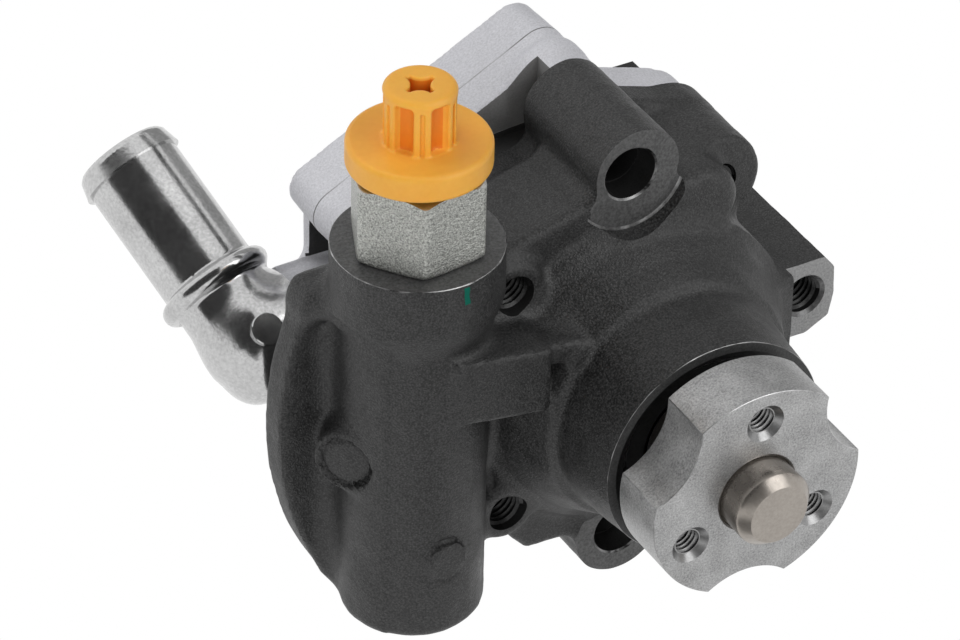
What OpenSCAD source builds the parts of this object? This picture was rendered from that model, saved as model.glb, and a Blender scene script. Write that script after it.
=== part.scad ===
// Power steering pump: a balanced vane pump with its flow control valve, cast iron housing and
// aluminium rear cover. Sizes are millimetres. The origin is on the shaft axis at the pulley face
// of the hub, -Y points to the pulley, +Z runs along the valve bore to the pressure outlet.

/* [Drive hub and shaft] */
// Hub flange radius
hub_r = 22; // [19:0.5:26]
// Hub thickness along the shaft
hub_t = 12; // [8:0.5:16]
// Radius of the pulley bolt circle
hub_bolt_circle_r = 15.5; // [13:0.25:17]
// Tapped radius of the pulley bolt holes
hub_tap_r = 2.5; // [2:0.1:3.4]
// Angle of the first pulley bolt hole from +X
hub_phase = 87; // [0:1:119]
// Radius of the scallops between the holes
scallop_r = 13.5; // [8:0.5:18]
// Metal left between the shaft axis and a scallop
scallop_floor_r = 17.6; // [15:0.1:20]
// Chamfer width at the mouth of a tapped hole
tap_chamfer = 1; // [0.3:0.1:1.5]
// Chamfer depth at the mouth of a tapped hole
tap_chamfer_t = 0.45; // [0.2:0.05:0.5]
// Radius of the pulley pilot at the end of the nose
pilot_r = 7.8; // [6:0.05:7.8]
// Length of the hub seat left in front of the hub
seat_len = 1.6; // [0.5:0.1:3]
// Shaft nose radius, the seat of the hub
nose_r = 8; // [6:0.5:10]
// Length of the nose in front of the hub
nose_len = 7.5; // [3:0.5:15]
// Chamfer of the nose
nose_chamfer = 1.8; // [0.5:0.1:3]
// Shaft radius at the bearing and the seal
journal_r = 8.5; // [8.5:0.25:10]
// Radius of the shaft collar behind the bearing
collar_r = 10.3; // [9.6:0.1:11]
// Outer radius of the drive serration in the rotor
serration_r = 7.6; // [6.5:0.1:8]
// Tooth height of the serration
serration_h = 0.7; // [0.4:0.1:1]
// Number of serration teeth
serration_n = 18; // [12:1:24]
// Radius of the rear shaft end in its bush
tail_r = 6; // [5:0.25:6.5]

/* [Bearing and seal] */
// Bearing outer radius
bearing_r = 20; // [17.5:0.5:20]
// Bearing width
bearing_w = 12; // [9:0.5:13]
// Front face of the bearing
bearing_y = 19; // [18.5:0.1:20]
// Ball radius as a share of the bearing's radial height
ball_share = 0.293; // [0.26:0.001:0.3]
// Number of balls
ball_n = 8; // [6:1:8]
// Thickness of a race as a share of the bearing's radial height
race_share = 0.313; // [0.3:0.001:0.33]
// Running clearance of a ball in its races
ball_play = 0.03; // [0.02:0.01:0.06]
// Radius of a race groove for each millimetre of ball radius
groove_share = 1.045; // [1.03:0.005:1.08]
// Wall of the ball cage
cage_wall = 1.3; // [0.8:0.1:1.6]
// Width of the ball cage beyond the balls on each side
cage_side = 0.83; // [0.6:0.01:1.1]
// Clearance of a ball in the cage
cage_play = 0.12; // [0.05:0.01:0.2]
// Thickness of the bearing shields
shield_t = 0.6; // [0.4:0.1:0.8]
// Thickness of the bearing circlip
clip_t = 1.7; // [1.2:0.1:2]
// Depth of the circlip groove
clip_depth = 1.2; // [0.8:0.1:1.4]
// Radial width of the bearing circlip
clip_w = 3; // [2:0.1:3.5]
// Outer radius of the shaft seal
seal_r = 15; // [13:0.25:16]
// Width of the shaft seal
seal_w = 7; // [5:0.5:7]
// Front face of the shaft seal
seal_y = 33.2; // [33:0.1:34]
// Wire radius of the seal spring
seal_spring_r = 0.6; // [0.4:0.05:0.8]
// Clearance between the seal lip and the shaft
seal_play = 0.08; // [0.03:0.01:0.1]

/* [Housing] */
// Plane of the front rim
rim_y = 15.1; // [14:0.1:17]
// Outer radius of the front rim
rim_r = 23.4; // [22.6:0.1:25]
// Radius of the front recess
recess_r = 21.5; // [21.4:0.1:22]
// Depth of the front recess
recess_t = 1.5; // [0.8:0.1:2]
// Radius of the neck behind the rim
neck_r = 24.9; // [24:0.1:26]
// Where the neck turns parallel
neck_y = 30; // [25:0.5:32]
// Shoulder plane of the pump drum
shoulder_y = 40.6; // [39.5:0.1:42]
// Casting fillet between neck and shoulder
neck_fillet = 6.5; // [3:0.5:8]
// Outer radius of the pump drum
drum_r = 33; // [32.5:0.25:36]
// Casting round on the edge of the drum
drum_round = 2; // [1:0.25:3]
// Radius of the cartridge chamber
chamber_r = 28.8; // [28.6:0.1:30]
// Floor of the cartridge chamber
chamber_y = 45; // [44:0.1:46]
// Joint plane between housing and rear cover
joint_y = 71; // [70.6:0.1:73]
// Front plane of the bolt bosses
flange_y = 42; // [41:0.1:43]
// Thickness of the rim at the joint
joint_rim_t = 6; // [5:0.5:10]
// Radius of the cover bolt bosses
bolt_boss_r = 8.5; // [7.5:0.1:9]
// Front plane of the two right bolt bosses
boss_y = 50.5; // [46:0.1:52]
// Radius of the two rear bolt bosses
rear_boss_r = 9.4; // [8.5:0.1:10]
// Cast pad beside the upper mounting boss, across
pad_x = 13.5; // [11:0.1:15]
// Cast pad, height
pad_z = 32.5; // [30:0.1:34]
// Cast pad radius
pad_r = 7.6; // [6.5:0.1:8.5]
// Front plane of the cast pad
pad_y = 42.3; // [41.5:0.1:44]
// Radius of the two left bolt bosses in front of the joint rim
bolt_front_r = 6; // [5.5:0.1:8]
// Tapped radius of the cover bolt holes
cover_tap_r = 3.4; // [3:0.1:4]

/* [Mounting points] */
// Machined plane of the mounting faces
mount_y = 44.4; // [43.5:0.1:46]
// Radius of the mounting bores
mount_bore_r = 5.1; // [4.5:0.05:5.5]
// Depth of the wider front length of a mounting bore
mount_step_len = 6.2; // [4:0.1:12]
// Metal left behind the blind upper bore
mount_blind = 2.6; // [1.5:0.1:6]
// Extra radius of the wider front length
mount_step = 0.25; // [0.1:0.05:0.4]
// Sideways place of the upper bore
top_x = -2.1; // [-6:0.1:6]
// Height of the upper bore
top_z = 43.9; // [42:0.1:50]
// Radius of the upper boss
top_boss_r = 9.3; // [8.8:0.1:10.5]
// Axis of the upper mounting boss outside, across
top_boss_x = -1.4; // [-2.4:0.1:-0.6]
// Sideways place of the lower bore
low_x = -1; // [-6:0.1:6]
// Depth below the shaft of the lower bore
low_z = 39.7; // [38.5:0.1:46]
// Radius of the lower boss
low_boss_r = 9.6; // [8.5:0.1:10]
// Sideways place of the side lug hole
lug_x = 38.4; // [38:0.1:42]
// Height of the side lug hole
lug_z = 2.4; // [0:0.1:5]
// Half height of the side lug
lug_half_h = 8.4; // [7:0.1:10]
// Metal beyond the lug hole
lug_reach = 6.9; // [6:0.1:8]
// Tapped radius of the lug hole
lug_tap_r = 3.4; // [3:0.1:4]
// Depth of the lug hole
lug_tap_len = 18; // [12:0.5:20]

/* [Flow control valve] */
// Sideways place of the valve axis
valve_x = -46.35; // [-48:0.05:-45]
// Valve axis behind the pulley face
valve_y = 45; // [44:0.1:46]
// Top face of the valve collar
valve_top = 43.5; // [42:0.1:46]
// Bottom of the valve body
valve_bottom = 39; // [36:0.1:40]
// Radius of the valve body
valve_r = 13.6; // [13:0.1:14.5]
// Radius of the valve collar
valve_collar_r = 16.15; // [15:0.05:17]
// Height of the valve collar
valve_collar_h = 14; // [10:0.5:18]
// Casting round at the foot of the valve body
valve_round = 2.5; // [2:0.5:6]
// Radius of the spool bore
spool_bore_r = 7.5; // [6.5:0.1:8]
// Floor of the spool bore below the shaft axis
spool_floor = 27; // [24:0.5:29]
// Spool clearance in its bore
spool_play = 0.03; // [0.02:0.01:0.08]
// Spool length
spool_len = 24; // [18:0.5:26]
// Spool travel against its spring
spool_travel = 9; // [5:0.5:11]
// Width of the spool groove
spool_groove = 5; // [3:0.5:7]
// Wire radius of the valve spring
spring_wire_r = 0.8; // [0.5:0.05:1]
// Coil radius of the valve spring
spring_r = 5.2; // [4:0.1:5.8]
// Turns of the valve spring
spring_n = 7; // [4:1:8]
// Radius of the passages from the chamber to the valve
passage_r = 2.6; // [2:0.1:3.2]
// Height of the pressure passage
passage_top_z = 15.5; // [13:0.5:18]
// Depth below the shaft of the return passage
passage_low_z = 6; // [4:0.5:9]
// Radius of the side web around the shaft axis
web_r = 69.4; // [67:0.1:71]
// Rear face of the side web
web_y = 60.5; // [58:0.25:63]
// Thickness of the side web at its edge
web_t = 6.6; // [5:0.1:9]
// Top of the side web
web_top = 29; // [26:0.5:32]
// Radius of the round casting marks
mark_r = 4; // [3.4:0.1:4.2]
// Radius of the cast mark on the side
side_mark_r = 5.2; // [4.5:0.1:5.6]
// Height of the round casting marks
mark_h = 0.5; // [0.2:0.1:0.8]
// Front plane of the bridge between valve and bearing neck
bridge_y = 29.7; // [28.5:0.1:32]
// Lower edge of the bridge
bridge_low = 8; // [6:0.1:11]
// Rise of the bridge toward the valve body
bridge_tilt = 3.2; // [0:0.1:5]
// Upper edge of the bridge
bridge_top = 21.9; // [20:0.1:25]
// Right end of the bridge, measured from the shaft axis
bridge_end = 26.4; // [24:0.1:29]

/* [Outlet union and transport plug] */
// Half width of the union hexagon across flats
hex_half = 11.3; // [10:0.1:12]
// Height of the hexagon
hex_h = 16.7; // [12:0.1:18]
// Angle of the hexagon about the valve axis
hex_turn = 6.5; // [0:0.5:59.5]
// Thread radius of the union in the housing
union_r = 9.95; // [9:0.05:10.5]
// Length of the union thread
union_len = 13; // [9:0.5:15]
// Thread radius of the pressure line port
port_r = 7.4; // [6.5:0.1:8]
// Depth of the pressure line port
port_len = 12; // [8:0.5:13]
// Radius of the outlet orifice
orifice_r = 3; // [1.5:0.1:4]
// Clearance between a screwed shank and its hole
screw_play = 0.05; // [0.02:0.01:0.1]
// Wire radius of the union seal ring
union_ring_r = 0.9; // [0.7:0.05:1.1]
// Plug flange radius
plug_flange_r = 13.3; // [12:0.1:15]
// Plug flange thickness
plug_flange_t = 5.4; // [3:0.1:7]
// Gap seen under the plug flange
plug_gap = 0.3; // [0.1:0.1:1]
// Length of the plug shank in the port
plug_shank = 9; // [5:0.5:11]
// Outer radius of the plug grip
grip_r = 7; // [6:0.1:8]
// Height of the plug grip
grip_h = 11.3; // [10:0.1:20]
// Width of a grip rib
grip_rib_w = 2.5; // [1.5:0.1:3]
// Width of the groove in a grip rib
grip_groove_w = 0.6; // [0.3:0.1:1]
// Radius of the grip core
grip_core_r = 5.2; // [4.5:0.1:5.8]
// Half width of the socket in the grip
grip_socket = 2.4; // [2:0.1:3.4]
// Depth of the socket in the grip
grip_socket_len = 8; // [4:0.5:10]
// Edge round of the plug flange
plug_round = 1; // [0.4:0.1:2]

/* [Pump cartridge] */
// Outer radius of cam ring and pressure plates
ring_r = 28.3; // [28:0.1:28.4]
// Thickness of the front pressure plate
front_plate_t = 5.6; // [4:0.1:6]
// Front face of the front pressure plate
front_plate_y = 47; // [46.8:0.1:47.6]
// Thickness of the cam ring
cam_t = 13; // [11:0.1:14]
// Thickness of the rear pressure plate
rear_plate_t = 5.2; // [4:0.1:5.4]
// Rotor radius
rotor_r = 19; // [17:0.1:19.2]
// Smallest radius of the cam track
cam_minor_r = 19.5; // [19.5:0.05:20]
// Largest radius of the cam track
cam_major_r = 22.4; // [21.5:0.1:23]
// Radius of the cam ramps
cam_ramp_r = 26; // [24.5:0.1:28]
// Side clearance of rotor and vanes between the plates
side_play = 0.05; // [0.03:0.01:0.1]
// Number of vanes
vane_n = 10; // [10:1:10]
// Vane thickness
vane_t = 1.8; // [1.4:0.1:2.2]
// Vane height
vane_h = 6.6; // [5.5:0.1:7]
// Vane clearance in its slot
vane_play = 0.03; // [0.02:0.01:0.06]
// Clearance between a vane tip and the smallest cam radius
vane_tip_play = 0.08; // [0.05:0.01:0.1]
// Radius of the slot floor
slot_floor_r = 10.8; // [10.4:0.1:11.2]
// Radius of the widened slot foot
slot_foot_r = 1.3; // [1.1:0.05:1.5]
// Radius of the dowel pins
dowel_r = 2; // [1.5:0.1:2.2]
// Dowel pins from the shaft axis
dowel_x = 24.6; // [24.2:0.1:25]
// Clearance of the dowel pins
dowel_play = 0.05; // [0.02:0.01:0.1]
// Clearance of the shaft through the plates
plate_play = 0.8; // [0.5:0.1:1.2]
// Port mean radius in the pressure plates
kidney_r = 20.6; // [20:0.1:21]
// Half width of the plate ports
kidney_w = 1.7; // [1:0.1:2]
// Angle covered by a plate port
kidney_angle = 42; // [30:1:50]
// Thickness of the plate spring
plate_spring_t = 0.7; // [0.5:0.1:1]
// Radial gap around the plate spring in its chamber
plate_spring_gap = 3.8; // [2:0.1:5]
// Radial width of the plate spring
plate_spring_w = 9; // [6:0.5:10]
// Axial gap at the edges of the plate spring
plate_spring_play = 0.1; // [0.05:0.05:0.2]
// Thickness of the rotor circlip
rotor_clip_t = 1.2; // [0.8:0.1:1.5]

/* [Rear cover] */
// Thickness of the cover rim
cover_t = 8; // [6:0.5:10]
// Rear face of the raised block
block_y = 94; // [90:0.5:98]
// Left end of the block top
block_left_x = -44.2; // [-46:0.1:-42]
// Height of the block top at its left end
block_left_z = 29; // [26:0.5:32]
// Right end of the block top
block_right_x = -1.6; // [-4:0.1:4]
// Height of the block top at its right end
block_right_z = 51.5; // [48:0.5:54]
// Rounding of the block corners
block_round = 5; // [3:0.5:8]
// Radius of the rear dome
dome_r = 27; // [24:0.5:30]
// Rear face of the dome
dome_y = 90; // [86:0.5:93]
// Step back of the wall under the rounded end
block_undercut = 3; // [1:0.1:4]
// Wall thickness at the open pocket
pocket_wall = 3; // [1.6:0.1:4]
// Depth of the open pocket in the block end
pocket_len = 12; // [5:0.5:12]
// Inlet axis behind the pulley face
inlet_y = 83.6; // [83.5:0.1:85]
// Inlet boss radius
inlet_boss_r = 12.4; // [12:0.1:13]
// End of the inlet boss from the shaft axis
inlet_end = 51.6; // [50:0.1:53]
// Inlet bore radius
inlet_r = 8.6; // [8:0.1:9]
// Cover bolt clearance
bolt_play = 0.4; // [0.2:0.05:0.6]
// Cover bolt shank radius
bolt_r = 3.95; // [3.5:0.05:4]
// Cover bolt head height
bolt_head_h = 6; // [4:0.5:8]
// Half width of the bolt head across flats
bolt_head_half = 5; // [4.5:0.1:6.5]
// Bolt washer flange radius
bolt_flange_r = 7.4; // [6.6:0.1:7.8]
// Screwed length in the housing
bolt_len = 20; // [14:0.5:24]
// Wire radius of the cover seal ring
cover_ring_r = 1.1; // [0.8:0.05:1.3]
// Place of the cover seal ring
cover_ring_x = 30.9; // [30.4:0.1:31.2]
// Bush wall in the cover
bush_t = 1.5; // [1:0.1:2]
// Bush length
bush_len = 8; // [5:0.5:10]
// Running clearance of the shaft tail
bush_play = 0.03; // [0.02:0.01:0.06]

/* [Suction elbow] */
// Elbow body radius
elbow_r = 11.7; // [10.6:0.1:12]
// Closed end of the elbow from the shaft axis
elbow_end = 65.6; // [64.5:0.1:67]
// Knee of the elbow from the shaft axis
knee_x = 59.4; // [58:0.1:60]
// Joint gap between elbow and cover boss
elbow_gap = 0.5; // [0.2:0.1:1]
// Elbow spigot length in the cover
spigot_len = 12; // [8:0.5:14]
// Hose stub outer radius
stub_r = 9.5; // [8.5:0.1:10]
// Hose stub inner radius
stub_bore_r = 7.2; // [6.5:0.1:7.8]
// Elbow bore radius inside the spigot
elbow_bore_r = 5.6; // [5:0.1:6]
// Hose stub length from the knee
stub_len = 44.4; // [38:0.1:50]
// Rise of the hose stub
stub_rise = 32.6; // [25:0.1:40]
// Outward lean of the hose stub
stub_lean = 15; // [8:0.1:20]
// Bead from the knee
bead_at = 13; // [11:0.1:15]
// Bead wire radius
bead_r = 2; // [1.5:0.1:2.5]
// Radius added by the end lip
lip_r = 1; // [0.5:0.1:1.5]
// Length of the end lip
lip_len = 4; // [3:0.1:6]
// Elbow mark radius
elbow_mark_r = 3.1; // [2.5:0.1:3.5]
// Angle of the disc mark from upright
elbow_mark_turn = 43; // [30:1:50]
// Edge round at the closed end of the elbow
elbow_round = 2.5; // [1:0.25:3]
// Wire radius of the elbow seal ring
elbow_ring_r = 1.2; // [0.9:0.05:1.4]

/* [Hidden] */
$fn = 64;
big = 300;
over = 1;
cap = 0.4;
seam = 0.2;

top_p = [top_x, top_z];
top_boss_p = [top_boss_x, top_z];
pad_p = [pad_x, pad_z];
low_p = [low_x, -low_z];
bolt_a = [-27.5, 26.8];
bolt_b = [-27.7, -23.9];
bolt_c = [21.1, 30.9];
bolt_d = [21.2, -31];
bolt_points = [bolt_a, bolt_b, bolt_d, bolt_c];
lug_p = [lug_x, lug_z];

bearing_end = bearing_y + bearing_w;
bearing_h = bearing_r - journal_r;
ball_circle_r = (bearing_r + journal_r) / 2;
ball_r = ball_share * bearing_h;
groove_r = groove_share * ball_r;
inner_race_r = journal_r + race_share * bearing_h;
outer_race_r = bearing_r - race_share * bearing_h;
cage_in_r = ball_circle_r - cage_wall / 2;
cage_out_r = ball_circle_r + cage_wall / 2;
cage_half_w = ball_r + cage_side;
clip_y = bearing_y - clip_t;
seal_end = seal_y + seal_w;
front_plate_end = front_plate_y + front_plate_t;
cam_end = front_plate_end + cam_t;
rear_plate_end = cam_end + rear_plate_t;
cover_end = joint_y + cover_t;
rotor_front = front_plate_end + side_play;
rotor_back = cam_end - side_play;
vane_tip = cam_minor_r - vane_tip_play;
vane_foot = vane_tip - vane_h;
cam_shift = cam_ramp_r - cam_minor_r;
hex_bottom = valve_top;
hex_top = valve_top + hex_h;
union_foot = valve_top - union_len;
plug_low = hex_top + plug_gap;
plug_top = plug_low + plug_flange_t;
spool_top = union_foot - cap;
spool_foot = spool_top - spool_len;
spring_len = spool_foot + spool_floor - 2 * spring_wire_r;
block_angle = atan2(block_right_z - block_left_z, block_right_x - block_left_x);
tail_end = cover_end + 2;
inlet_floor = inlet_end - spigot_len - over;
knee = [-knee_x, inlet_y, 0];

// Which piece to show

// Solid of revolution about the shaft axis, profile points are [radius, y]
module turn_y() {
    rotate([-90, 0, 0]) rotate_extrude() children();
}

// Round bar parallel to the shaft at [x, z]
module bar_y(p, r, y0, y1) {
    translate([p[0], y0, p[1]]) rotate([-90, 0, 0]) cylinder(r = r, h = y1 - y0);
}

// Outline in the x-z plane given depth from y0 to y1
module slab_y(y0, y1) {
    translate([0, y1, 0]) rotate([90, 0, 0]) linear_extrude(height = y1 - y0) children();
}

// Flat strip of width w from point p to point q
module strip(p, q, w) {
    d = q - p;
    translate(p) rotate(atan2(d[1], d[0])) translate([0, -w / 2]) square([norm(d), w]);
}

// Polygon with round corners at its points
module round_plate(points, r) {
    n = len(points);
    polygon(points);
    for (i = [0 : n - 1]) {
        translate(points[i]) circle(r);
        strip(points[i], points[(i + 1) % n], 2 * r - seam);
    }
}

// Hexagon prism along z standing on z = 0
module hex_prism(half, h) {
    cylinder(r = half / cos(30), h = h, $fn = 6);
}

// Serration outline with a round root
module serration(grow) {
    n = serration_n;
    top = serration_r + grow;
    root = serration_r - serration_h + grow;
    polygon([for (i = [0 : 2 * n - 1])
        let (r = i % 2 == 0 ? top : root) [r * cos(180 * i / n), r * sin(180 * i / n)]]);
}

// Bearing neck, shoulder and drum as one turned profile
module drum_profile() {
    polygon([[0, rim_y], [rim_r, rim_y], [neck_r, neck_y], [neck_r, shoulder_y + over],
        [0, shoulder_y + over]]);
    translate([0, shoulder_y]) square([drum_r - drum_round, joint_y - shoulder_y + over]);
    translate([0, shoulder_y + drum_round])
        square([drum_r, joint_y - shoulder_y - drum_round + over]);
    translate([drum_r - drum_round, shoulder_y + drum_round]) circle(drum_round);
    difference() {
        translate([neck_r - over, shoulder_y - neck_fillet])
            square([neck_fillet + over, neck_fillet + over]);
        translate([neck_r + neck_fillet, shoulder_y - neck_fillet]) circle(neck_fillet);
    }
}

// Everything that is bored on the shaft axis
module shaft_bores_profile() {
    polygon([[0, rim_y - over], [recess_r, rim_y - over], [recess_r, rim_y + recess_t],
        [bearing_r, rim_y + recess_t], [bearing_r, clip_y], [bearing_r + clip_depth, clip_y],
        [bearing_r + clip_depth, bearing_y], [bearing_r, bearing_y], [bearing_r, bearing_end],
        [seal_r + over, bearing_end], [seal_r + over, seal_y], [seal_r, seal_y],
        [seal_r, seal_end], [collar_r - over, seal_end], [collar_r - over, chamber_y],
        [chamber_r, chamber_y], [chamber_r, joint_y + 2], [0, joint_y + 2]]);
}

// Lug outline with clipped outer corners
module lug_outline() {
    h = lug_half_h;
    e = lug_x + lug_reach;
    translate([0, lug_z - 0.8]) polygon([[drum_r - 6, -h], [e - 6, -h], [e - 1, -h + 2.6],
        [e, -h + 8], [e - 0.3, h - 3], [e - 2.6, h], [drum_r - 6, h]]);
}

// Wall that closes the joint outline between the upper bore and the bolt beside it
module joint_wall() {
    polygon([bolt_c, bolt_c + [2.6, 8.4], [11.2, top_z - 0.5], [0, top_z - 0.5], [0, pad_z - 2.5]]);
}

// Joint outline of the housing
module joint_outline() {
    round_plate(bolt_points, bolt_boss_r);
    joint_wall();
    circle(drum_r + over);
    strip([0, 0], top_boss_p, 2 * top_boss_r - 1);
    strip([0, 0], low_p, 2 * low_boss_r - 1);
    strip([0, lug_z], lug_p, 2 * lug_half_h - 2);
}

// Valve body turned about its own bore
module valve_profile() {
    b = -valve_bottom;
    c = valve_top - valve_collar_h;
    translate([0, b]) square([valve_r - valve_round, valve_top - b]);
    translate([0, b + valve_round]) square([valve_r, valve_top - b - valve_round]);
    translate([valve_r - valve_round, b + valve_round]) circle(valve_round);
    polygon([[0, c - 6], [valve_r, c - 6], [valve_collar_r, c], [valve_collar_r, valve_top],
        [0, valve_top]]);
}

// Side web of the valve body, bounded by an arc about the shaft axis
module side_web() {
    f = web_y - web_t;
    s = valve_x - valve_r * 0.68;
    intersection() {
        bar_y([0, 0], web_r, valve_y - valve_r, web_y);
        translate([0, 0, -valve_bottom + valve_round]) linear_extrude(height = web_top
            + valve_bottom - valve_round) polygon([[valve_x + 8, valve_y - 4],
            [s - 2, f - 4.9], [s - 4.4, f - 1.8], [s - 8, f], [-web_r - over, f + 0.6],
            [-web_r - over, web_y + over],
            [valve_x + 8, web_y + over]]);
    }
}

// Raw casting before any machining
module casting() {
    turn_y() drum_profile();
    for (p = [bolt_a, bolt_b]) {
        bar_y(p, bolt_front_r, flange_y, joint_y + over);
        slab_y(flange_y + 2, joint_y + over) strip([0, 0], p, 2 * bolt_front_r - 2);
    }
    for (p = [bolt_c, bolt_d]) {
        bar_y(p, rear_boss_r, boss_y, joint_y + over);
        slab_y(boss_y + 2, joint_y + over) strip([0, 0], p, 2 * rear_boss_r - 2);
    }
    bar_y(pad_p, pad_r, pad_y, joint_y + over);
    slab_y(pad_y + 0.5, joint_y + over) strip([0, pad_z - 2], pad_p, 2 * pad_r - 2);
    bar_y(top_boss_p, top_boss_r, mount_y - over, joint_y + over);
    slab_y(mount_y + 1.4, joint_y + over) strip([0, 0], top_boss_p, 2 * top_boss_r - 1);
    bar_y(low_p, low_boss_r, mount_y - over, joint_y + over);
    slab_y(mount_y + 0.6, joint_y + over) strip([0, 0], low_p, 2 * low_boss_r - 1);
    slab_y(mount_y - over, joint_y + over) lug_outline();
    slab_y(joint_y - joint_rim_t, joint_y + over) joint_outline();
    slab_y(flange_y + 2.5, web_y + 4) polygon([[valve_x + 6, 30.5], [bolt_a[0] - 2, 34.6],
        [top_x - 8, top_z - 4], [0, top_z - 8], [0, -low_z + 2.2], [bolt_b[0] + 6.3, -low_z + 3.1],
        [bolt_b[0] + 3.5, -low_z + 5.7], [bolt_b[0] + 1.2, -low_z + 8.6],
        [bolt_b[0] - 3, -low_z + 9], [valve_x + 6, -low_z + 9]]);
    translate([valve_x, valve_y, 0]) rotate_extrude() valve_profile();
    slab_y(bridge_y, shoulder_y + 4) polygon([[-bridge_end, bridge_low], [-bridge_end, bridge_top],
        [valve_x, bridge_top + bridge_tilt], [valve_x, bridge_low + bridge_tilt]]);
    side_web();
    translate([valve_x - 0.3, valve_y, -19.1]) rotate([90, 0, 0])
        cylinder(r = mark_r, h = valve_r + mark_h);
    translate([-61.5, 43.45, -1.3]) rotate([0, 90, 33]) cylinder(r = side_mark_r, h = 9);
}

module housing() {
    color("#3c3c3e") difference() {
        casting();
        translate([-big / 2, joint_y, -big / 2]) cube([big, big, big]);
        turn_y() shaft_bores_profile();
        bar_y(top_p, top_boss_r + 2.3, mount_y - 20, mount_y);
        bar_y(low_p, low_boss_r + 0.8, mount_y - 20, mount_y);
        slab_y(mount_y - 20, mount_y) translate([drum_r + 0.7, -big / 2]) square([big, big]);
        bar_y(top_p, mount_bore_r, mount_y - over, joint_y - mount_blind);
        bar_y(low_p, mount_bore_r, mount_y - over, joint_y + over);
        for (p = [top_p, low_p])
            bar_y(p, mount_bore_r + mount_step, mount_y - over, mount_y + mount_step_len);
        bar_y(lug_p, lug_tap_r, mount_y - over, mount_y + lug_tap_len);
        for (p = [bolt_a, bolt_b]) bar_y(p, cover_tap_r, flange_y - 20, joint_y + over);
        for (p = [bolt_c, bolt_d]) bar_y(p, cover_tap_r, boss_y - over, joint_y + over);
        translate([valve_x, valve_y, -spool_floor])
            cylinder(r = spool_bore_r, h = spool_floor + valve_top + over);
        translate([valve_x, valve_y, union_foot])
            cylinder(r = union_r + screw_play, h = union_len + over);
        for (z = [passage_top_z, -passage_low_z]) translate([valve_x, valve_y, z])
            rotate([0, 90, 0]) cylinder(r = passage_r, h = -valve_x - chamber_r + 7);
    }
}

// Outline of the raised block: a bar along the inclined top
module block_outline() {
    w = 2 * block_round - seam;
    e = block_round - seam;
    p = [block_left_x, block_left_z];
    q = [block_right_x, block_right_z];
    n = [sin(block_angle), -cos(block_angle)];
    a = p + n * block_round;
    b = q + n * block_round;
    strip(a, b, w);
    translate(a) circle(block_round);
    translate(b) circle(block_round);
    polygon([a, b, b + [e, 0], [12, 0], [-30, 0], [a[0] - e + block_undercut, 6],
        [a[0] - e + block_undercut, a[1]]]);
    translate(b) translate([0, -big / 10]) square([e, big / 10]);
}

module rear_cover() {
    color("#b4b4ba") difference() {
        union() {
            slab_y(joint_y, cover_end) {
                round_plate(bolt_points, bolt_boss_r + 0.3);
                joint_wall();
                circle(drum_r + 2);
            }
            slab_y(joint_y, block_y) block_outline();
            bar_y([0, 0], dome_r, joint_y, dome_y);
            translate([-10, inlet_y, 0]) rotate([0, -90, 0])
                cylinder(r = inlet_boss_r, h = inlet_end - 10);
        }
        translate([block_left_x - block_round - over, joint_y - over, inlet_boss_r - 3.1])
            cube([pocket_len, block_y - pocket_wall - joint_y + over, 9.1]);
        translate([-inlet_end - over, inlet_y, 0]) rotate([0, 90, 0])
            cylinder(r = inlet_r, h = inlet_end - 22);
        bar_y([-24, 0], kidney_w * 2, joint_y - over, inlet_y);
        bar_y(low_p, mount_bore_r + 1.5, joint_y - over, block_y + over);
        for (p = bolt_points) {
            bar_y(p, bolt_r + bolt_play, joint_y - over, block_y + over);
            bar_y(p, bolt_flange_r + 0.9, cover_end, block_y + over);
        }
        bar_y([0, 0], tail_r + bush_t, joint_y - over, tail_end + over);
        turn_y() translate([cover_ring_x - cover_ring_r, joint_y - over])
            square([2 * cover_ring_r, over + 1.6 * cover_ring_r]);
    }
}

module cover_bolts() {
    color("#1c1c1e") for (p = bolt_points) {
        bar_y(p, cover_tap_r - screw_play, joint_y - bolt_len, joint_y + cap);
        bar_y(p, bolt_r, joint_y + cap, cover_end);
        bar_y(p, bolt_flange_r, cover_end, cover_end + 1.6);
        translate([p[0], cover_end + 1.6, p[1]]) rotate([-90, 0, 0])
            hex_prism(bolt_head_half, bolt_head_h);
    }
}

module cover_seal_ring() {
    color("#151515") turn_y() translate([cover_ring_x, joint_y + 0.6 * cover_ring_r])
        intersection() {
            circle(cover_ring_r * 0.98);
            translate([-big / 2, -0.6 * cover_ring_r]) square([big, big]);
        }
}

module shaft_bush() {
    color("#a8813f") difference() {
        bar_y([0, 0], tail_r + bush_t, tail_end - bush_len, tail_end);
        bar_y([0, 0], tail_r + bush_play, tail_end - bush_len - over, tail_end + over);
    }
}

// Along the hose stub, starting at the knee
module stub_frame() {
    translate(knee) rotate([0, 0, stub_lean]) rotate([stub_rise - 90, 0, 0]) children();
}

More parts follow.
